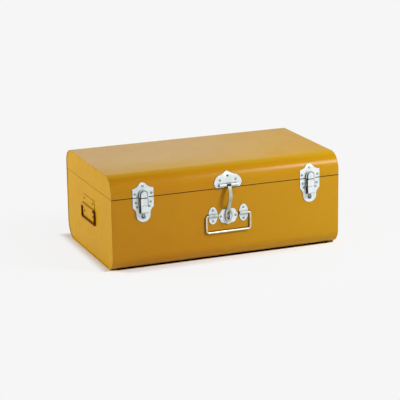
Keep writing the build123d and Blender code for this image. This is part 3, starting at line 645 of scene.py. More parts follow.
class Finish(Enum):
    """The finishes of the trunk, each kept with the name of a slot of the record."""

    ENAMEL = (MustardEnamel(), "mustard_paint")
    ZINC = (ZincPlate(), "zinc_plate")
    # Wider flank and under masks paint shade on the domes; the patch paints shade on the top rivet of the
    # hasp plate.
    RIVET = (
        ZincPlate(
            "zinc_rivet", bright=(0.52, 0.56, 0.56), blue=(0.40, 0.46, 0.48), polish=0.4,
            flank=Mask(0.16, 0.48, 0.92), under=Mask(0.02, 0.40, 0.92),
            patches=(((0.0, 0.1745), (0.0014, 0.0014)),),
        ),
        "zinc_plate",
    )
    # The slot is a painted shade line across each spring rivet; the flank and under masks paint shade on
    # its dome.
    STUD = (
        ZincPlate(
            "zinc_stud", flank=Mask(0.10, 0.40, 0.85), under=Mask(0.02, 0.30, 0.75),
            slots=(LATCH_X, 0.110), slot=Mask(0.0015, 0.0009),
        ),
        "zinc_plate",
    )
    # The patch paints shade on the base plate under each lever.
    BASE = (
        ZincPlate(
            "zinc_base", hollow=Mask(0.36, 0.68, 0.95), patches=(((LATCH_X, 0.1345), (0.0090, 0.0175)),)
        ),
        "zinc_plate",
    )
    # The folds are painted shade lines across each lever; the strong flank mask paints shade on its sides.
    LEVER = (
        ZincPlate("zinc_lever", flank=Mask(0.3, 0.8, 0.98), folds=(0.1342, 0.1205)),
        "zinc_plate",
    )
    # The fold is a painted shade band at the strap's top, under the barrel.
    STRAP = (
        ZincPlate(
            "zinc_strap", bright=(0.50, 0.51, 0.42), blue=(0.32, 0.34, 0.27), straw=(0.66, 0.66, 0.55),
            metallic=0.5, folds=(0.1566,), fold=Mask(0.0026, 0.0016),
        ),
        "zinc_plate",
    )
    SADDLE = (ZincPlate("zinc_saddle", proud_face=-0.1505), "zinc_plate")
    BRIGHT_WIRE = (
        DrawnWire("creamy_wire", (0.72, 0.67, 0.52), (0.46, 0.42, 0.30), metallic=1.0, polish=0.42),
        "bright_wire",
    )
    # The end rings and the end plates' rivets are dark brown.
    BROWN_WIRE = (
        DrawnWire(
            "dark_brown_wire", (0.150, 0.042, 0.001), (0.075, 0.020, 0.0005),
            metallic=0.0, polish=0.5, gloss=0.03,
        ),
        "brown_wire",
    )
    SPRING = (
        DrawnWire("blued_spring_steel", (0.20, 0.23, 0.25), (0.06, 0.07, 0.08), metallic=1.0, polish=0.34),
        "spring_steel",
    )

    def __init__(self, coat: MustardEnamel | ZincPlate | DrawnWire, slot: str) -> None:
        """Keeps how the finish is mixed and the name of a slot of the record."""
        self.coat = coat
        self.slot = slot


class FinishShop:
    """Mixes each finish once and puts it on pieces."""

    def __init__(self) -> None:
        """Mixes every finish."""
        self.mixed = {finish: finish.coat.mix() for finish in Finish}

    def put_on(self, piece: bpy.types.Object, finish: Finish) -> None:
        """Puts a finish on every slot of a piece.

        Args:
            piece: the piece to be finished.
            finish: the finish it gets.
        """
        if not piece.material_slots:
            piece.data.materials.append(self.mixed[finish])
        for place in piece.material_slots:
            place.material = self.mixed[finish]


# ------------------------------------------------------------------------------ forming


@dataclass(frozen=True)
class Seat:
    """A place on a face for a fitting: its middle, the way out of the face and the way up."""

    middle: Vector
    out: Vector
    up: Vector

    def at(self, across: float, up: float, out: float) -> Vector:
        """Returns the point so far across, up and out from the middle of the seat."""
        return self.middle + self.up.cross(self.out) * across + self.up * up + self.out * out


@dataclass(frozen=True)
class TrunkFaces:
    """The outer faces of the trunk, for fittings to sit on."""

    front: float = -148.5 * MM
    rear: float = 148.5 * MM
    end: float = 249.2 * MM
    top: float = 195.0 * MM
    seam: float = 150.0 * MM
    lid_radius: float = 34.0 * MM

    def on_front(self, x: float, up: float, out: float) -> Vector:
        """Returns a point out of the front skin, which rolls back near the top of the lid.

        Args:
            x: the place along the trunk.
            up: the height of the skin point above the seam.
            out: how far the point stands out of the skin.

        Returns:
            The point.
        """
        radius = self.lid_radius
        rise = self.seam + up - (self.top - radius)
        if rise <= 0:
            return Vector((x, self.front - out, self.seam + up))
        run = math.sqrt(radius**2 - rise**2)
        reach = (radius + out) / radius
        return Vector((x, self.front + radius - run * reach, self.top - radius + rise * reach))

    def front_seat(self, x: float, up: float) -> Seat:
        """Finds a place on the front.

        Args:
            x: the place along the trunk.
            up: its height above the seam, below it where negative.

        Returns:
            The seat, square to the skin.
        """
        middle = self.on_front(x, up, 0.0)
        out = self.on_front(x, up, 1.0) - middle
        return Seat(middle, out, out.cross(Vector((1, 0, 0))))

    def rear_seat(self, x: float, up: float) -> Seat:
        """Returns the seat at a place on the rear face."""
        return Seat(Vector((x, self.rear, self.seam + up)), Vector((0, 1, 0)), Vector((0, 0, 1)))

    def end_seat(self, side: int, y: float, z: float) -> Seat:
        """Returns the seat at a place on the panel of one end."""
        return Seat(Vector((side * self.end, y, z)), Vector((side, 0, 0)), Vector((0, 0, 1)))


FACES = TrunkFaces()
Lay = Callable[[float, float, float], Vector]


def mirrored(line: Sequence[Point]) -> list[Point]:
    """Returns the mirror image of a line of points, left for right."""
    return [(-across, up) for across, up in line]


def rectangle(half: float, low: float, high: float) -> list[Point]:
    """Returns the corners of a rectangle that is centred across."""
    return [(-half, low), (half, low), (half, high), (-half, high)]


def arc(centre: Point, radius: float, start: float, stop: float, steps: int) -> list[Point]:
    """Returns points along an arc, its angles in degrees and both ends included."""
    angles = [math.radians(start + (stop - start) * step / steps) for step in range(steps + 1)]
    return [(centre[0] + radius * math.cos(a), centre[1] + radius * math.sin(a)) for a in angles]


def through(first: Point, middle: Point, last: Point, steps: int) -> list[Point]:
    """Returns points along the circle arc through three points.

    Args:
        first: where the arc starts.
        middle: a point that it passes.
        last: where it ends.
        steps: how many pieces it is cut into.

    Returns:
        The points, both ends included.
    """
    (ax, ay), (bx, by), (cx, cy) = first, middle, last
    twice = 2 * (ax * (by - cy) + bx * (cy - ay) + cx * (ay - by))
    squares = [x * x + y * y for x, y in (first, middle, last)]
    ox = (squares[0] * (by - cy) + squares[1] * (cy - ay) + squares[2] * (ay - by)) / twice
    oy = (squares[0] * (cx - bx) + squares[1] * (ax - cx) + squares[2] * (bx - ax)) / twice
    start = math.atan2(ay - oy, ax - ox)
    passed = (math.atan2(by - oy, bx - ox) - start) % math.tau
    turned = (math.atan2(cy - oy, cx - ox) - start) % math.tau
    if passed > turned:
        turned -= math.tau
    degrees = math.degrees(start)
    return arc((ox, oy), math.hypot(ax - ox, ay - oy), degrees, degrees + math.degrees(turned), steps)


def rounded_path(
    corners: Sequence[Vector], radii: Sequence[float], closed: bool = False, steps: int = 7
) -> list[Vector]:
    """Rounds the corners of a line of straight runs.

    Args:
        corners: the ends of the runs.
        radii: the radius of the bend at each corner. An open line's ends have none.
        closed: whether the last corner runs on to the first.
        steps: how many pieces each bend is cut into.

    Returns:
        The points of the rounded line.
    """
    count = len(corners)
    path: list[Vector] = []
    for index, corner in enumerate(corners):
        if not closed and index in (0, count - 1):
            path.append(corner)
            continue
        before = (corners[index - 1] - corner).normalized()
        after = (corners[(index + 1) % count] - corner).normalized()
        half = before.angle(after) / 2
        radius = radii[index]
        inward = (before + after).normalized()
        centre = corner + inward * (radius / math.sin(half))
        start = corner + before * (radius / math.tan(half)) - centre
        stop = corner + after * (radius / math.tan(half)) - centre
        turn = start.angle(stop)
        for step in range(steps + 1):
            share = step / steps
            mixed = start * math.sin((1 - share) * turn) + stop * math.sin(share * turn)
            path.append(centre + mixed / math.sin(turn))
    return path


class Blank:
    """A mesh being formed, in metres."""

    def __init__(self) -> None:
        """Starts with nothing."""
        self.mesh = bmesh.new()

    def skin(self, rows: Iterable[Sequence[Vector]], ring: bool = False, capped: bool = False) -> None:
        """Lays a skin over rows of points.

        Args:
            rows: the rows, each with as many points as the others.
            ring: whether each row closes on itself.
            capped: whether the first and last row are filled.
        """
        laid = [[self.mesh.verts.new(point) for point in row] for row in rows]
        width = len(laid[0])
        for lower, upper in zip(laid, laid[1:]):
            for index in range(width if ring else width - 1):
                after = (index + 1) % width
                self.mesh.faces.new((lower[index], lower[after], upper[after], upper[index]))
        if capped:
            self.mesh.faces.new(reversed(laid[0]))
            self.mesh.faces.new(laid[-1])

    def face(self, corners: Iterable[Vector]) -> None:
        """Lays one face between its corners."""
        self.mesh.faces.new([self.mesh.verts.new(corner) for corner in corners])

    def turned(self, seat: Seat, profile: Sequence[Point], steps: int = 20) -> None:
        """Turns a profile about the seat's way out.

        Args:
            seat: where the turned form stands.
            profile: its radius and height, from its foot to its crown.
            steps: how many pieces the turn is cut into.
        """
        angles = [math.tau * step / steps for step in range(steps)]
        rows = [
            [seat.at(radius * math.cos(a), radius * math.sin(a), height) for a in angles]
            for radius, height in profile
        ]
        self.skin(rows, ring=True, capped=True)

    def wire(self, path: Sequence[Vector], radius: float, closed: bool = False, steps: int = 18) -> None:
        """Sweeps a round section along a path that lies in one plane.

        Args:
            path: the middle of the wire.
            radius: its radius.
            closed: whether the last point runs on to the first.
            steps: how many pieces its round is cut into.
        """
        count = len(path)
        flat = Vector((0, 0, 0))
        for index in range(1, count - 1):
            flat += (path[index] - path[index - 1]).cross(path[index + 1] - path[index])
        flat.normalize()
        rows = []
        angles = [math.tau * step / steps for step in range(steps)]
        for index, point in enumerate(path):
            back = path[index - 1] if closed or index else point
            ahead = path[(index + 1) % count] if closed or index < count - 1 else point
            side = (ahead - back).normalized().cross(flat)
            rows.append([point + (side * math.cos(a) + flat * math.sin(a)) * radius for a in angles])
        if closed:
            self.skin([*rows, rows[0]], ring=True)
        else:
            self.skin(rows, ring=True, capped=True)

    def plate(
        self, outline: Sequence[Point], low: float, high: float, lay: Lay, cuts: Sequence[float] = ()
    ) -> None:
        """Cuts a plate to an outline and lays it on a face.

        Args:
            outline: the plate's edge, across and up.
            low: the height of its back over the face.
            high: the height of its front over the face.
            lay: the point so far across, up and out on the face.
            cuts: heights at which it is divided so that it can bend.
        """
        flat = bmesh.new()
        edge = [flat.verts.new((across, up, 0.0)) for across, up in outline]
        flat.faces.new(edge)
        for cut in cuts:
            bmesh.ops.bisect_plane(
                flat, geom=[*flat.verts, *flat.edges, *flat.faces], plane_co=(0, cut, 0), plane_no=(0, 1, 0)
            )
        levels = []
        for height in (low, high):
            levels.append({v: self.mesh.verts.new(lay(v.co.x, v.co.y, height)) for v in flat.verts})
        for face in flat.faces:
            self.mesh.faces.new([levels[1][v] for v in face.verts])
            self.mesh.faces.new([levels[0][v] for v in reversed(face.verts)])
        for rim in flat.edges:
            if len(rim.link_faces) == 1:
                first, last = (loop.vert for loop in (rim.link_loops[0], rim.link_loops[0].link_loop_next))
                corners = (levels[0][first], levels[0][last], levels[1][last], levels[1][first])
                self.mesh.faces.new(corners)
        flat.free()

    def sized(self, name: str) -> bpy.types.Object:
        """Closes the mesh and puts it in the scene, shaded smooth.

        Args:
            name: the name of the mesh and its object.

        Returns:
            The object.
        """
        bmesh.ops.remove_doubles(self.mesh, verts=self.mesh.verts, dist=WELD_REACH)
        bmesh.ops.recalc_face_normals(self.mesh, faces=self.mesh.faces)
        for face in self.mesh.faces:
            face.smooth = True
        data = bpy.data.meshes.new(name)
        self.mesh.to_mesh(data)
        self.mesh.free()
        piece = bpy.data.objects.new(name, data)
        bpy.context.scene.collection.objects.link(piece)
        return piece


class Bench:
    """Finishes pieces and fits them to the moving bodies."""

    flat_weight = 60

    def __init__(self, frame: dict, shop: FinishShop) -> None:
        """Takes the loaded frame and the mixed finishes."""
        self.nodes = frame["nodes"]
        self.shop = shop

    def ease(self, piece: bpy.types.Object, edge: float, angle: float = 32.0) -> None:
        """Rounds the sharp edges of a piece and keeps its flats flat.

        Args:
            piece: the piece.
            edge: the width of the rounding, or 0 for none.
            angle: the least fold, in degrees, that counts as an edge.
        """
        weld = piece.modifiers.new("weld", "WELD")
        weld.merge_threshold = WELD_REACH
        if edge > 0:
            bevel = piece.modifiers.new("edge", "BEVEL")
            bevel.width = edge
            bevel.segments = 2
            bevel.limit_method = "ANGLE"
            bevel.angle_limit = math.radians(angle)
            bevel.use_clamp_overlap = True
        shade = piece.modifiers.new("flats", "WEIGHTED_NORMAL")
        shade.keep_sharp = False
        shade.weight = self.flat_weight

    def dress(self, node: str, finish: Finish, edge: float) -> None:
        """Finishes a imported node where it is.

        Args:
            node: the node's name.
            finish: the finish it gets.
            edge: the width of its rounded edges.
        """
        piece = self.nodes[node]
        self.ease(piece, edge)
        self.shop.put_on(piece, finish)
        LOG.info("dressed %s in %s", node, finish.coat.name)

    def fit(self, piece: bpy.types.Object, body: str, finish: Finish, replaced: str) -> None:
        """Finishes a formed piece and hangs it on its body.

        Args:
            piece: the piece, in its place.
            body: the moving body that it rides on.
            finish: the finish it gets.
            replaced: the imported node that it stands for.
        """
        self.shop.put_on(piece, finish)
        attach(piece, body)
        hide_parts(replaced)
        LOG.info("fitted %s to %s", piece.name, body)


# ------------------------------------------------------------------------------ the trunk


@dataclass(frozen=True)
class Station:
    """One place along a shell's section, with the way into the shell."""

    place: Vector
    inward: Vector
    eased: float = 0.0

    def at(self, x: float, inset: float) -> Vector:
        """Returns the point at x along the trunk, so far in from the outer skin."""
        return self.place + self.inward * inset + Vector((x, 0.0, 0.0))


@dataclass(frozen=True)
class ShellSection:
    """The section of the body or the lid, from its front lip round to its rear lip."""

    mouth: float
    far: float
    front_radius: float
    rear_radius: float
    half_depth: float = FACES.rear
    lip_round: float = 0.4 * MM
    lip_steps: int = 3
    bend_steps: int = 14

    @property
    def away(self) -> int:
        """Returns the way from the mouth to the far side, 1 for up and -1 for down."""
        return 1 if self.far > self.mouth else -1

    def lip(self, y: float) -> list[Station]:
        """Rounds over one lip.

        Args:
            y: the outer face that the lip ends.

        Returns:
            The stations, from the lip's edge inward.
        """
        inward = Vector((0.0, -math.copysign(1.0, y), 0.0))
        stations = []
        for step in range(self.lip_steps + 1):
            turn = math.radians(90 * step / self.lip_steps)
            z = self.mouth + self.away * self.lip_round * (1 - math.cos(turn))
            stations.append(Station(Vector((0.0, y, z)), inward, self.lip_round * (1 - math.sin(turn))))
        return stations

    def bend(self, y: float, radius: float, start: float) -> list[Station]:
        """Returns the stations round one bend.

        Args:
            y: the outer face that the bend joins.
            radius: the bend's radius.
            start: the angle at which it starts, in degrees from the rear.

        Returns:
            The stations, a quarter turn in all.
        """
        centre = Vector((0.0, y - math.copysign(radius, y), self.far - self.away * radius))
        stations = []
        for step in range(self.bend_steps + 1):
            turn = math.radians(start - 90 * step / self.bend_steps)
            out = Vector((0.0, math.cos(turn), self.away * math.sin(turn)))
            stations.append(Station(centre + out * radius, -out))
        return stations

    def stations(self) -> list[Station]:
        """Follows the section once round.

        Returns:
            Every station, from the front lip to the rear lip.
        """
        front = self.lip(-self.half_depth) + self.bend(-self.half_depth, self.front_radius, 180)
        rear = self.bend(self.half_depth, self.rear_radius, 90)
        return front + rear + self.lip(self.half_depth)[::-1]


@dataclass
class Shell:
    """Body and lid: folded tin sheets with turned rims, end panels and guide strips."""

    bench: Bench
    half_length: float = 250 * MM
    rim: float = 3.0 * MM
    rim_bend: float = 0.9 * MM
    rim_steps: int = 4
    most_eased: float = 0.45 * SHEET
    play: float = 0.05 * MM
    flange: float = 6.0 * MM
    hem: float = 6.0 * MM
    lid_flange_start: float = 157.2 * MM
    strip_edge: float = 0.15 * MM
    fine: float = 0.12 * MM
    fine_angle: float = 50.0
    body: ShellSection = ShellSection(149.8 * MM, 0.0, 31 * MM, 36 * MM)
    lid: ShellSection = ShellSection(150.2 * MM, FACES.top, FACES.lid_radius, 30 * MM)

    def sheet_row(self, station: Station) -> list[Vector]:
        """Returns the wrap's section at a station: the skin, both rims, and a straight back between them.

        Args:
            station: the place along the shell.

        Returns:
            The points of the closed section.
        """
        near = min(station.eased, self.most_eased)
        outer, inner = self.half_length - near, self.half_length - SHEET + near
        outside = [(outer - self.fine, self.rim), (outer, self.rim - self.fine)]
        for step in range(self.rim_steps + 1):
            turn = math.radians(90 * step / self.rim_steps)
            across, in_from = (self.rim_bend * (1 - way) for way in (math.cos(turn), math.sin(turn)))
            outside.append((outer - across, near + in_from))
        inside = [(inner, SHEET - near), (inner, self.rim - self.fine), (inner + self.fine, self.rim)]
        loop = outside + mirrored(outside)[::-1] + mirrored(inside) + inside[::-1]
        return [station.at(x, inset) for x, inset in loop]

    def wrap(self, section: ShellSection, name: str) -> bpy.types.Object:
        """Folds one wrap, and the hem inside the body's lips.

        Args:
            section: the section that the sheet follows.
            name: the piece's name.

        Returns:
            The wrap.
        """
        blank = Blank()
        blank.skin([self.sheet_row(station) for station in section.stations()], ring=True, capped=True)
        if section is self.body:
            run = FACES.end - SHEET - self.flange - self.play
            strip = rectangle(run, -self.hem, 0.0)
            for way in LEFT_AND_RIGHT:

                def lay(across: float, up: float, out: float, way: int = way) -> Vector:
                    """Returns the point on the inner face of the front or the rear."""
                    return Vector((across, way * (section.half_depth - SHEET - out), section.mouth + up))

                blank.plate(strip, 0.0, SHEET, lay)
        return blank.sized(name)

    def end_panel(self, section: ShellSection, side: int, name: str) -> bpy.types.Object:
        """Cuts one end panel and turns its flange in.

        Args:
            section: the section that it closes.
            side: the end of the trunk, -1 or 1.
            name: the piece's name.

        Returns:
            The panel.
        """
        lap = SHEET + self.play
        stations = section.stations()
        outline = [(point.y, point.z) for point in (s.at(0.0, max(lap, s.eased)) for s in stations)]

        def lay(across: float, up: float, out: float) -> Vector:
            """Returns the point on the end face."""
            return Vector((side * (FACES.end - SHEET + out), across, up))

        blank = Blank()
        blank.plate(outline, 0.0, SHEET, lay)
        kept = stations[1:-1]
        if section is self.lid:
            low = self.lid_flange_start
            kept = [s for s in stations if s.place.z >= low]
            feet = [Station(Vector((0.0, s.place.y, low)), s.inward) for s in (kept[0], kept[-1])]
            kept = [feet[0], *kept, feet[1]]
        back = FACES.end - SHEET
        tip = back - self.flange
        square = ((back, lap), (tip, lap), (tip, lap + SHEET), (back, lap + SHEET))
        blank.skin([[s.at(side * x, inset) for x, inset in square] for s in kept], ring=True, capped=True)
        if section is self.body:
            half = section.half_depth - 2 * SHEET - self.play
            blank.plate(rectangle(half, section.mouth - self.hem, section.mouth), -SHEET, 0.0, lay)
        return blank.sized(name)

    def build(self) -> None:
        """Folds the wraps, cuts the end panels and finishes the strips."""
        for section, body, node in ((self.body, "trunk", "body"), (self.lid, "lid", "lid")):
            wrap = self.wrap(section, f"{node}_folded_sheet")
            self.bench.ease(wrap, 0.0)
            self.bench.fit(wrap, body, Finish.ENAMEL, f"{node}_wrap")
            for side in LEFT_AND_RIGHT:
                panel = self.end_panel(section, side, f"{node}_end_panel_{side_name(side)}")
                self.bench.ease(panel, self.fine, self.fine_angle)
                self.bench.fit(panel, body, Finish.ENAMEL, f"{node}_end_{side_name(side)}")
        for run in ("front", "rear", "left", "right"):
            self.bench.dress(f"collar_{run}", Finish.ENAMEL, self.strip_edge)


@dataclass
class RearHinge:
    """One rear hinge, painted over with the shell."""

    bench: Bench
    side: int
    edge: float = 0.25 * MM

    def build(self) -> None:
        """Finishes the two leaves and the pin."""
        for part in ("hinge_body_leaf", "hinge_lid_leaf", "hinge_pin"):
            self.bench.dress(f"{part}_{side_name(self.side)}", Finish.ENAMEL, self.edge)


@dataclass(frozen=True)
class RivetHead:
    """A tubular rivet: a low dome with a dimple outside, and a rolled end inside.

    The points of the roll are shares of its radius and rises above its foot.
    """

    radius: float = 2.5 * MM
    height: float = 1.1 * MM
    dimple_radius: float = 1.05 * MM
    dimple_depth: float = 0.5 * MM
    foot_share: float = 0.96
    foot_sunk: float = 0.05 * MM
    brim: float = 0.08 * MM
    least: float = 0.12 * MM
    tip: float = 0.02 * MM
    rings: int = 7
    tail_radius: float = 2.1 * MM
    tail_height: float = 0.5 * MM
    tail_hollow: float = 0.25 * MM
    tail_roll: tuple[Point, ...] = ((0.4, 0.2 * MM), (0.65, 0.0), (0.9, 0.1 * MM), (1.0, 0.3 * MM))
    tail_neck: float = 0.97
    tail_steps: int = 16

    def crown(self, over: float) -> list[Point]:
        """Shapes the head.

        Args:
            over: how far the plate under it stands over the face.

        Returns:
            Its radius and height at each point, from its foot to its crown.
        """
        dome = (self.radius**2 + self.height**2) / (2 * self.height)
        profile = [(self.radius * self.foot_share, over - self.foot_sunk), (self.radius, over + self.brim)]
        for ring in range(1, self.rings + 1):
            radius = self.radius * (1 - ring / self.rings)
            height = math.sqrt(dome**2 - radius**2) - dome + self.height
            inside = max(0.0, 1 - radius / self.dimple_radius)
            sunk = self.dimple_depth * (1 - (1 - inside) ** 2)
            profile.append((max(radius, self.tip), over + max(height, self.least) - sunk))
        return profile

    def tail(self, inner: float) -> list[Point]:
        """Shapes the rolled end.

        Args:
            inner: the thickness of the sheet that it is rolled against.

        Returns:
            Its radius and height at each point, from its far end to the sheet.
        """
        low = -inner - self.tail_height
        roll = [(self.tail_radius * share, low + rise) for share, rise in self.tail_roll]
        neck = (self.tail_radius * self.tail_neck, -inner + self.foot_sunk)
        return [(self.tip, low + self.tail_hollow), *roll, neck]

    def set_in(self, blank: Blank, seat: Seat, over: float, inner: float) -> None:
        """Sets one rivet in a seat, through a plate and the sheet behind it."""
        blank.turned(seat, self.crown(over))
        blank.turned(seat, self.tail(inner), self.tail_steps)


def both(seat: Callable[[float, float], Seat], across: float, up: float, middle: float = 0.0) -> list[Seat]:
    """Returns the seats at one height on both sides of a middle line.

    Args:
        seat: the seat at a place along and up a face.
        across: how far each is from the middle line.
        up: their height on the face.
        middle: the place of the middle line.

    Returns:
        The left and the right seat.
    """
    return [seat(middle + side * across, up) for side in LEFT_AND_RIGHT]


@dataclass
class RivetWork:
    """Every rivet of the trunk, set group by group."""

    bench: Bench
    curved_sheet: float = 0.92 * MM
    leaf: float = 1.2 * MM
    spring: float = 0.5 * MM
    keeper_side: Point = (17.5 * MM, 7.8 * MM)
    keeper_top: float = 22.2 * MM
    base_rivets: tuple[Point, Point] = ((15.6 * MM, -10.1 * MM), (13.0 * MM, -18.8 * MM))
    spring_drop: float = 40 * MM
    hasp_side: Point = (17.0 * MM, 16.4 * MM)
    hasp_top: float = 24.5 * MM
    staple_rivet: Point = (16.6 * MM, -59 * MM)
    saddle_x: float = 33.7 * MM
    saddle_rise: float = 11.4 * MM
    saddle_drop: float = 55.8 * MM
    plate_rivet: Point = (27 * MM, 14 * MM)
    plate_z: float = 99.7 * MM
    hinge_x: float = 150 * MM
    hinge_rivet: Point = (13 * MM, 9.5 * MM)
    small_head: RivetHead = RivetHead()
    big_head: RivetHead = RivetHead(4.2 * MM, 1.6 * MM, dimple_radius=0.5 * MM, dimple_depth=0.1 * MM)

    def group(
        self, name: str, body: str, seats: Sequence[Seat], finish: Finish = Finish.RIVET,
        over: float = PLATE, inner: float = SHEET, head: RivetHead | None = None,
    ) -> None:
        """Sets one group of rivets.

        Args:
            name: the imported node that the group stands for.
            body: the body that it rides on.
            seats: where the rivets go.
            finish: the finish of the heads.
            over: the thickness of the plates under the heads.
            inner: the thickness of the sheet behind them.
            head: the kind of rivet, or None for the small one.
        """
        blank = Blank()
        for seat in seats:
            (head or self.small_head).set_in(blank, seat, over, inner)
        self.bench.fit(blank.sized(name.replace("rivets", "rivet_heads")), body, finish, name)

    def set_sides(self, side: int) -> None:
        """Sets the rivets of the keeper and of the handle plate on one side.

        Args:
            side: the side of the trunk, -1 or 1.
        """
        front = FACES.front_seat
        keeper = both(front, *self.keeper_side, side * LATCH_X)
        keeper.append(front(side * LATCH_X, self.keeper_top))
        self.group(f"rivets_latch_keeper_{side_name(side)}", "lid", keeper, inner=self.curved_sheet)
        across, rise = self.plate_rivet
        ends = [
            FACES.end_seat(side, along * across, self.plate_z + way * rise)
            for along in LEFT_AND_RIGHT for way in LEFT_AND_RIGHT
        ]
        self.group(f"rivets_side_plate_{side_name(side)}", "trunk", ends, Finish.BROWN_WIRE)

    def build(self) -> None:
        """Sets every group."""
        front = FACES.front_seat
        for side in LEFT_AND_RIGHT:
            self.set_sides(side)
        bases = [
            seat for side in LEFT_AND_RIGHT for across, up in self.base_rivets
            for seat in both(front, across, up, side * LATCH_X)
        ]
        self.group("rivets_latch_bases", "trunk", bases)
        springs = both(front, LATCH_X, -self.spring_drop)
        over = PLATE + self.spring
        self.group("rivets_latch_springs", "trunk", springs, Finish.STUD, over, head=self.big_head)
        hasp = [*both(front, *self.hasp_side), front(0.0, self.hasp_top)]
        self.group("rivets_hasp_plate", "lid", hasp, inner=self.curved_sheet)
        self.group("rivets_staple_plate", "trunk", both(front, *self.staple_rivet))
        saddles = [
            front(side * self.saddle_x, -self.saddle_drop + way * self.saddle_rise)
            for side in LEFT_AND_RIGHT for way in LEFT_AND_RIGHT
        ]
        self.group("rivets_bail_saddles", "trunk", saddles)
        across, rise = self.hinge_rivet
        for part, body, up in (("body", "trunk", -rise), ("lid", "lid", rise)):
            leaves = [
                seat for side in LEFT_AND_RIGHT
                for seat in both(FACES.rear_seat, across, up, side * self.hinge_x)
            ]
            self.group(f"rivets_hinge_{part}", body, leaves, Finish.ENAMEL, self.leaf)


@dataclass
class SnapLatch:
    """One snap latch: keeper pressing on the lid, base with cheeks, rocking lever and its spring."""

    bench: Bench
    side: int
    gap: float = 0.9 * MM
    half_width: float = 22.3 * MM
    corner: float = 18.5 * MM
    shoulder: Point = (13.0 * MM, 21.2 * MM)
    neck: Point = (6.5 * MM, 26.2 * MM)
    crown: Point = (3.25 * MM, 28.45 * MM)
    peak: float = 29.0 * MM
    arch_outer: float = 10.2 * MM
    arch_inner: float = 8.2 * MM
    arch_centre: float = 6.0 * MM
    arch_height: float = 4.6 * MM
    hood_half: float = 7.25 * MM
    hood_height: float = 7.5 * MM
    hood_wall: float = 1.1 * MM
    hood_round: float = 1.6 * MM
    lip: float = 1.2 * MM
    tip: float = 0.02 * MM
    edge: float = 0.3 * MM
    edge_angle: float = 40.0
    thin_edge: float = 0.12 * MM
    bead_flare: float = 0.25
    bend_from: float = 13 * MM
    bend_steps: int = 8
    arch_steps: int = 24
    shoulder_steps: int = 8
    crown_steps: int = 6
    turns: int = 5
    hollow_turns: int = 3

    def lay(self, across: float, up: float, out: float) -> Vector:
        """Returns the point on the lid's front, across and up from the middle of the latch."""
        return FACES.on_front(self.side * LATCH_X + across, up, out)

    def keeper_outline(self) -> list[Point]:
        """Draws the shield-shaped edge of the keeper.

        Returns:
            Its points, from the left foot over the right round again.
        """
        corner = (self.half_width, self.corner)
        right = through(corner, self.shoulder, self.neck, self.shoulder_steps)
        right += through(self.neck, self.crown, (0.0, self.peak), self.crown_steps)[1:]
        return [(-self.half_width, self.gap), (self.half_width, self.gap), *right, *mirrored(right[-2::-1])]

    def arch_row(self, radius: float, out: float) -> list[Vector]:
        """Lays one round-topped row of points.

        Args:
            radius: its half width.
            out: how far it stands out of the lid.

        Returns:
            The points, from right to left.
        """
        foot = [(radius, self.gap), (radius, (self.gap + self.arch_centre) / 2)]
        line = foot + arc((0.0, self.arch_centre), radius, 0, 180, self.arch_steps) + mirrored(foot[::-1])
        return [self.lay(across, up, out) for across, up in line]

    def bead_profile(self) -> list[Point]:
        """Draws the rounded section of the horseshoe bead.

        Returns:
            Its radius and its height at each point.
        """
        half = (self.arch_outer - self.arch_inner) / 2
        sunk = PLATE - self.edge / 2
        dome = arc((self.arch_outer - half, PLATE + self.arch_height - half), half, 0, 180, self.turns * 2)
        foot = [(self.arch_outer + self.bead_flare * half, sunk), (self.arch_outer, PLATE + half / 2)]
        return [*foot, *dome, (self.arch_inner, sunk)]

    def hood_profile(self) -> list[Point]:
        """Draws the section of the hood.

        Returns:
            Its radius and height, from its foot over its front to its middle.
        """
        top = PLATE + self.hood_height
        centre = (self.hood_half - self.hood_round, top - self.hood_round)
        bend = arc(centre, self.hood_round, 0, 90, self.turns)
        return [(self.hood_half, PLATE - self.edge), *bend, (self.hood_half / 3, top), (self.tip, top)]

    def inner_profile(self) -> list[Point]:
        """Draws the section of the hollow under the hood.

        Returns:
            Its radius and height, from its foot to its middle.
        """
        top = PLATE + self.hood_height - self.hood_wall
        side = self.hood_half - self.hood_wall
        radius = self.hood_round / 2
        bend = arc((side - radius, top - radius), radius, 0, 90, self.hollow_turns)
        return [(side, PLATE - self.edge), *bend, (self.tip, top)]

    def keeper(self) -> bpy.types.Object:
        """Presses the keeper: shield plate, horseshoe bead and hollow hood with its catch lip.

        Returns:
            The keeper, in its place on the lid.
        """
        blank = Blank()
        cuts = [self.corner * step / self.bend_steps + self.bend_from for step in range(self.bend_steps)]
        blank.plate(self.keeper_outline(), 0.0, PLATE, self.lay, cuts)
        bead, hood, hollow = (
            [self.arch_row(radius, out) for radius, out in profile]
            for profile in (self.bead_profile(), self.hood_profile(), self.inner_profile())
        )
        for rows in (bead, hood, hollow):
            blank.skin(rows)
        for end in (0, -1):
            blank.face([row[end] for row in bead])
            blank.face([row[end] for row in (*hood, *hollow[::-1])])
        self.catch_lip(blank)
        return blank.sized(f"latch_keeper_pressing_{side_name(self.side)}")

    def catch_lip(self, blank: Blank) -> None:
        """Turns the catch lip back inside the hood's mouth.

        Args:
            blank: the keeper being pressed.
        """
        half = self.hood_half - self.hood_wall / 2
        out = PLATE + self.hood_height - self.hood_wall
        lip = rectangle(half, self.gap, self.gap + self.lip)
        blank.plate(lip, out - self.lip, out + self.hood_wall / 4, self.lay)

    def build(self) -> None:
        """Presses the keeper and finishes the base, the lever, the pin and the spring."""
        side = side_name(self.side)
        keeper = self.keeper()
        self.bench.ease(keeper, self.edge, self.edge_angle)
        self.bench.fit(keeper, "lid", Finish.ZINC, f"latch_keeper_{side}")
        self.bench.dress(f"latch_base_{side}", Finish.BASE, self.edge)
        self.bench.dress(f"latch_lever_{side}", Finish.LEVER, self.edge)
        self.bench.dress(f"latch_pin_{side}", Finish.ZINC, self.thin_edge)
        self.bench.dress(f"latch_spring_{side}", Finish.SPRING, self.thin_edge)


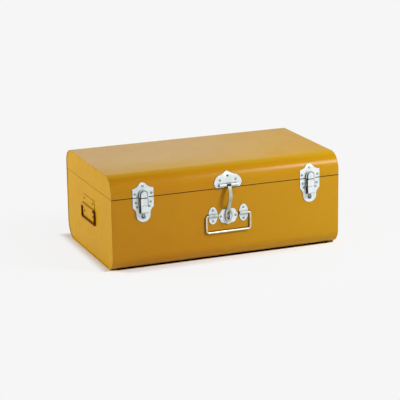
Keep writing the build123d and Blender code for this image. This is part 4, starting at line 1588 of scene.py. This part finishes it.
@dataclass
class Hasp:
    """Hasp plate with its rolled barrel, the bowed strap, and the staple it drops over."""

    bench: Bench
    staple_z: float = 91 * MM
    half_span: float = 4.6 * MM
    reach: float = 14 * MM
    wire: float = 1.6 * MM
    tail: float = 2.0 * MM
    bow_steps: int = 16
    edge: float = 0.3 * MM
    strap_edge: float = 0.45 * MM

    def staple(self) -> bpy.types.Object:
        """Bends the staple out of round wire.

        Returns:
            The staple, its legs through the plate.
        """
        bend = self.reach - self.half_span - self.wire
        bow = arc((bend, 0.0), self.half_span, -90, 90, self.bow_steps)
        line = [(-self.tail, -self.half_span), *bow, (-self.tail, self.half_span)]
        blank = Blank()
        blank.wire([Vector((0.0, FACES.front - out, self.staple_z + up)) for out, up in line], self.wire)
        return blank.sized("staple_loop")

    def build(self) -> None:
        """Bends the staple and finishes the plates, the pin and the strap."""
        self.bench.dress("hasp_plate", Finish.ZINC, self.edge)
        self.bench.dress("hasp_pin", Finish.ZINC, self.edge / 2)
        self.bench.dress("hasp_strap", Finish.STRAP, self.strap_edge)
        self.bench.dress("staple_plate", Finish.ZINC, self.edge)
        self.bench.fit(self.staple(), "trunk", Finish.ZINC, "staple")


@dataclass
class FrontHandle:
    """The drop handle on the front: a wire bail whose ends turn in two riveted saddles."""

    bench: Bench
    z: float = 94.2 * MM
    stand_off: float = 2.5 * MM
    half_width: float = 48.3 * MM
    drop: float = 35.2 * MM
    end: float = 25.2 * MM
    wire: float = 2.1 * MM
    bend: float = 4.2 * MM
    low_bend: float = 6.0 * MM
    edge: float = 0.3 * MM

    def bail(self) -> bpy.types.Object:
        """Bends the bail out of round wire.

        Returns:
            The bail, hanging in its saddles.
        """
        low = self.z - self.drop
        left = [(-self.end, self.z), (-self.half_width, self.z), (-self.half_width, low)]
        line = left + mirrored(left)[::-1]
        radii = [0.0, self.bend, self.low_bend]
        corners = [Vector((x, FACES.front - self.stand_off, z)) for x, z in line]
        blank = Blank()
        blank.wire(rounded_path(corners, radii + radii[::-1]), self.wire)
        return blank.sized("front_bail_wire")

    def build(self) -> None:
        """Bends the bail and finishes the saddles."""
        for side in map(side_name, LEFT_AND_RIGHT):
            self.bench.dress(f"bail_saddle_{side}", Finish.SADDLE, self.edge)
        self.bench.fit(self.bail(), "front_bail", Finish.BRIGHT_WIRE, "front_bail")


@dataclass
class EndHandle:
    """The drop handle on one end: a painted plate with a roll, and a brown wire ring."""

    bench: Bench
    side: int
    z: float = 99.7 * MM
    stand_off: float = 2.4 * MM
    half_width: float = 41 * MM
    drop: float = 28 * MM
    wire: float = 2.0 * MM
    bend: float = 3.0 * MM
    edge: float = 0.3 * MM

    def bail(self) -> bpy.types.Object:
        """Bends the ring out of round wire.

        Returns:
            The ring, hanging in its roll.
        """
        x = self.side * (FACES.end + self.stand_off)
        turns = rectangle(self.half_width, self.z - self.drop, self.z)
        path = rounded_path([Vector((x, y, z)) for y, z in turns], [self.bend] * len(turns), closed=True)
        blank = Blank()
        blank.wire(path, self.wire, closed=True)
        return blank.sized(f"end_bail_wire_{side_name(self.side)}")

    def build(self) -> None:
        """Bends the ring and finishes the plate."""
        side = side_name(self.side)
        self.bench.dress(f"side_plate_{side}", Finish.ENAMEL, self.edge)
        name = f"side_bail_{side}"
        self.bench.fit(self.bail(), name, Finish.BROWN_WIRE, name)


# ------------------------------------------------------------------------------ the studio


@dataclass
class Lamp:
    """One soft square lamp, aimed at the middle of the trunk."""

    name: str
    place: Place
    size: float
    watts: float
    aim: Place = (0.0, 0.0, 0.09)

    def hang(self) -> None:
        """Hangs the lamp in the scene."""
        light = bpy.data.lights.new(self.name, "AREA")
        light.shape = "SQUARE"
        light.size = self.size
        light.energy = self.watts
        lamp = bpy.data.objects.new(self.name, light)
        lamp.location = self.place
        lamp.rotation_euler = (Vector(self.aim) - Vector(self.place)).to_track_quat("-Z", "Y").to_euler()
        bpy.context.scene.collection.objects.link(lamp)


@dataclass
class Studio:
    """Pale floor, even surroundings and three soft lamps."""

    rings: tuple[float, ...] = (0.02, 0.5, 1.5, 4.0, 12.0)
    ring_steps: int = 48
    ambient: float = 0.22
    lamps: tuple[Lamp, ...] = (
        Lamp("key_lamp", (0.88, -1.0, 1.19), 0.42, 26.5),
        Lamp("left_lamp", (-2.1, 0.95, 0.65), 1.0, 46.0),
        Lamp("rear_lamp", (0.3, 1.8, 1.2), 1.6, 4.0),
    )

    def lay_floor(self) -> None:
        """Lays the floor as a disc of rings, finer near the trunk."""
        turns = [math.tau * step / self.ring_steps for step in range(self.ring_steps)]
        rows = [[Vector((r * math.cos(a), r * math.sin(a), 0.0)) for a in turns] for r in self.rings]
        blank = Blank()
        blank.skin(rows, ring=True)
        blank.face(rows[0])
        floor = blank.sized("studio_floor")
        floor.data.materials.append(StudioFloor().mix())

    def surround(self) -> None:
        """Sets the surroundings: the floor's tone where they are seen, softer where they light."""
        world = bpy.data.worlds.new("studio_air")
        bpy.context.scene.world = world
        air = Recipe(world)
        least = self.ambient / PAPER_TONE
        sockets = {"Color": (*(PAPER_TONE,) * 3, 1.0), "Strength": least + air.seen() * (1 - least)}
        glow = air.node("ShaderNodeBackground", None, sockets)
        air.node("ShaderNodeOutputWorld", None, {"Surface": glow.outputs[0]})

    def build(self) -> None:
        """Sets up the whole studio."""
        self.lay_floor()
        self.surround()
        for lamp in self.lamps:
            lamp.hang()


@dataclass
class ViewCamera:
    """A long lens, low in front of the trunk's left end."""

    place: Place = (-1.2368, -3.1382, 1.0007)
    yaw: float = 21.467
    pitch: float = 15.157
    roll: float = -0.872
    lens: float = 148.353
    sensor: float = 36.0
    clip: Point = (0.05, 60.0)

    def build(self) -> None:
        """Stands the camera and makes it the scene's own."""
        yaw, pitch, roll = (math.radians(angle) for angle in (self.yaw, self.pitch, self.roll))
        ahead = Vector((math.sin(yaw) * math.cos(pitch), math.cos(yaw) * math.cos(pitch), -math.sin(pitch)))
        level = Vector((math.cos(yaw), -math.sin(yaw), 0.0))
        upright = level.cross(ahead)
        right = level * math.cos(roll) + upright * math.sin(roll)
        up = upright * math.cos(roll) - level * math.sin(roll)
        turn = Matrix((right, up, -ahead)).transposed()
        lens = bpy.data.cameras.new("view_camera")
        lens.lens, lens.sensor_width = self.lens, self.sensor
        lens.clip_start, lens.clip_end = self.clip
        camera = bpy.data.objects.new("view_camera", lens)
        camera.matrix_world = Matrix.Translation(self.place) @ turn.to_4x4()
        bpy.context.scene.collection.objects.link(camera)
        bpy.context.scene.camera = camera


def main() -> None:
    """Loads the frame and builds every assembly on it."""
    logging.basicConfig(level=logging.INFO, format="%(name)s: %(message)s")
    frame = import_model()
    bpy.context.scene.view_settings.view_transform = "Standard"
    bench = Bench(frame, FinishShop())
    Shell(bench).build()
    for side in LEFT_AND_RIGHT:
        RearHinge(bench, side).build()
        SnapLatch(bench, side).build()
        EndHandle(bench, side).build()
    Hasp(bench).build()
    FrontHandle(bench).build()
    RivetWork(bench).build()
    Studio().build()
    ViewCamera().build()


if __name__ == "__main__":
    main()
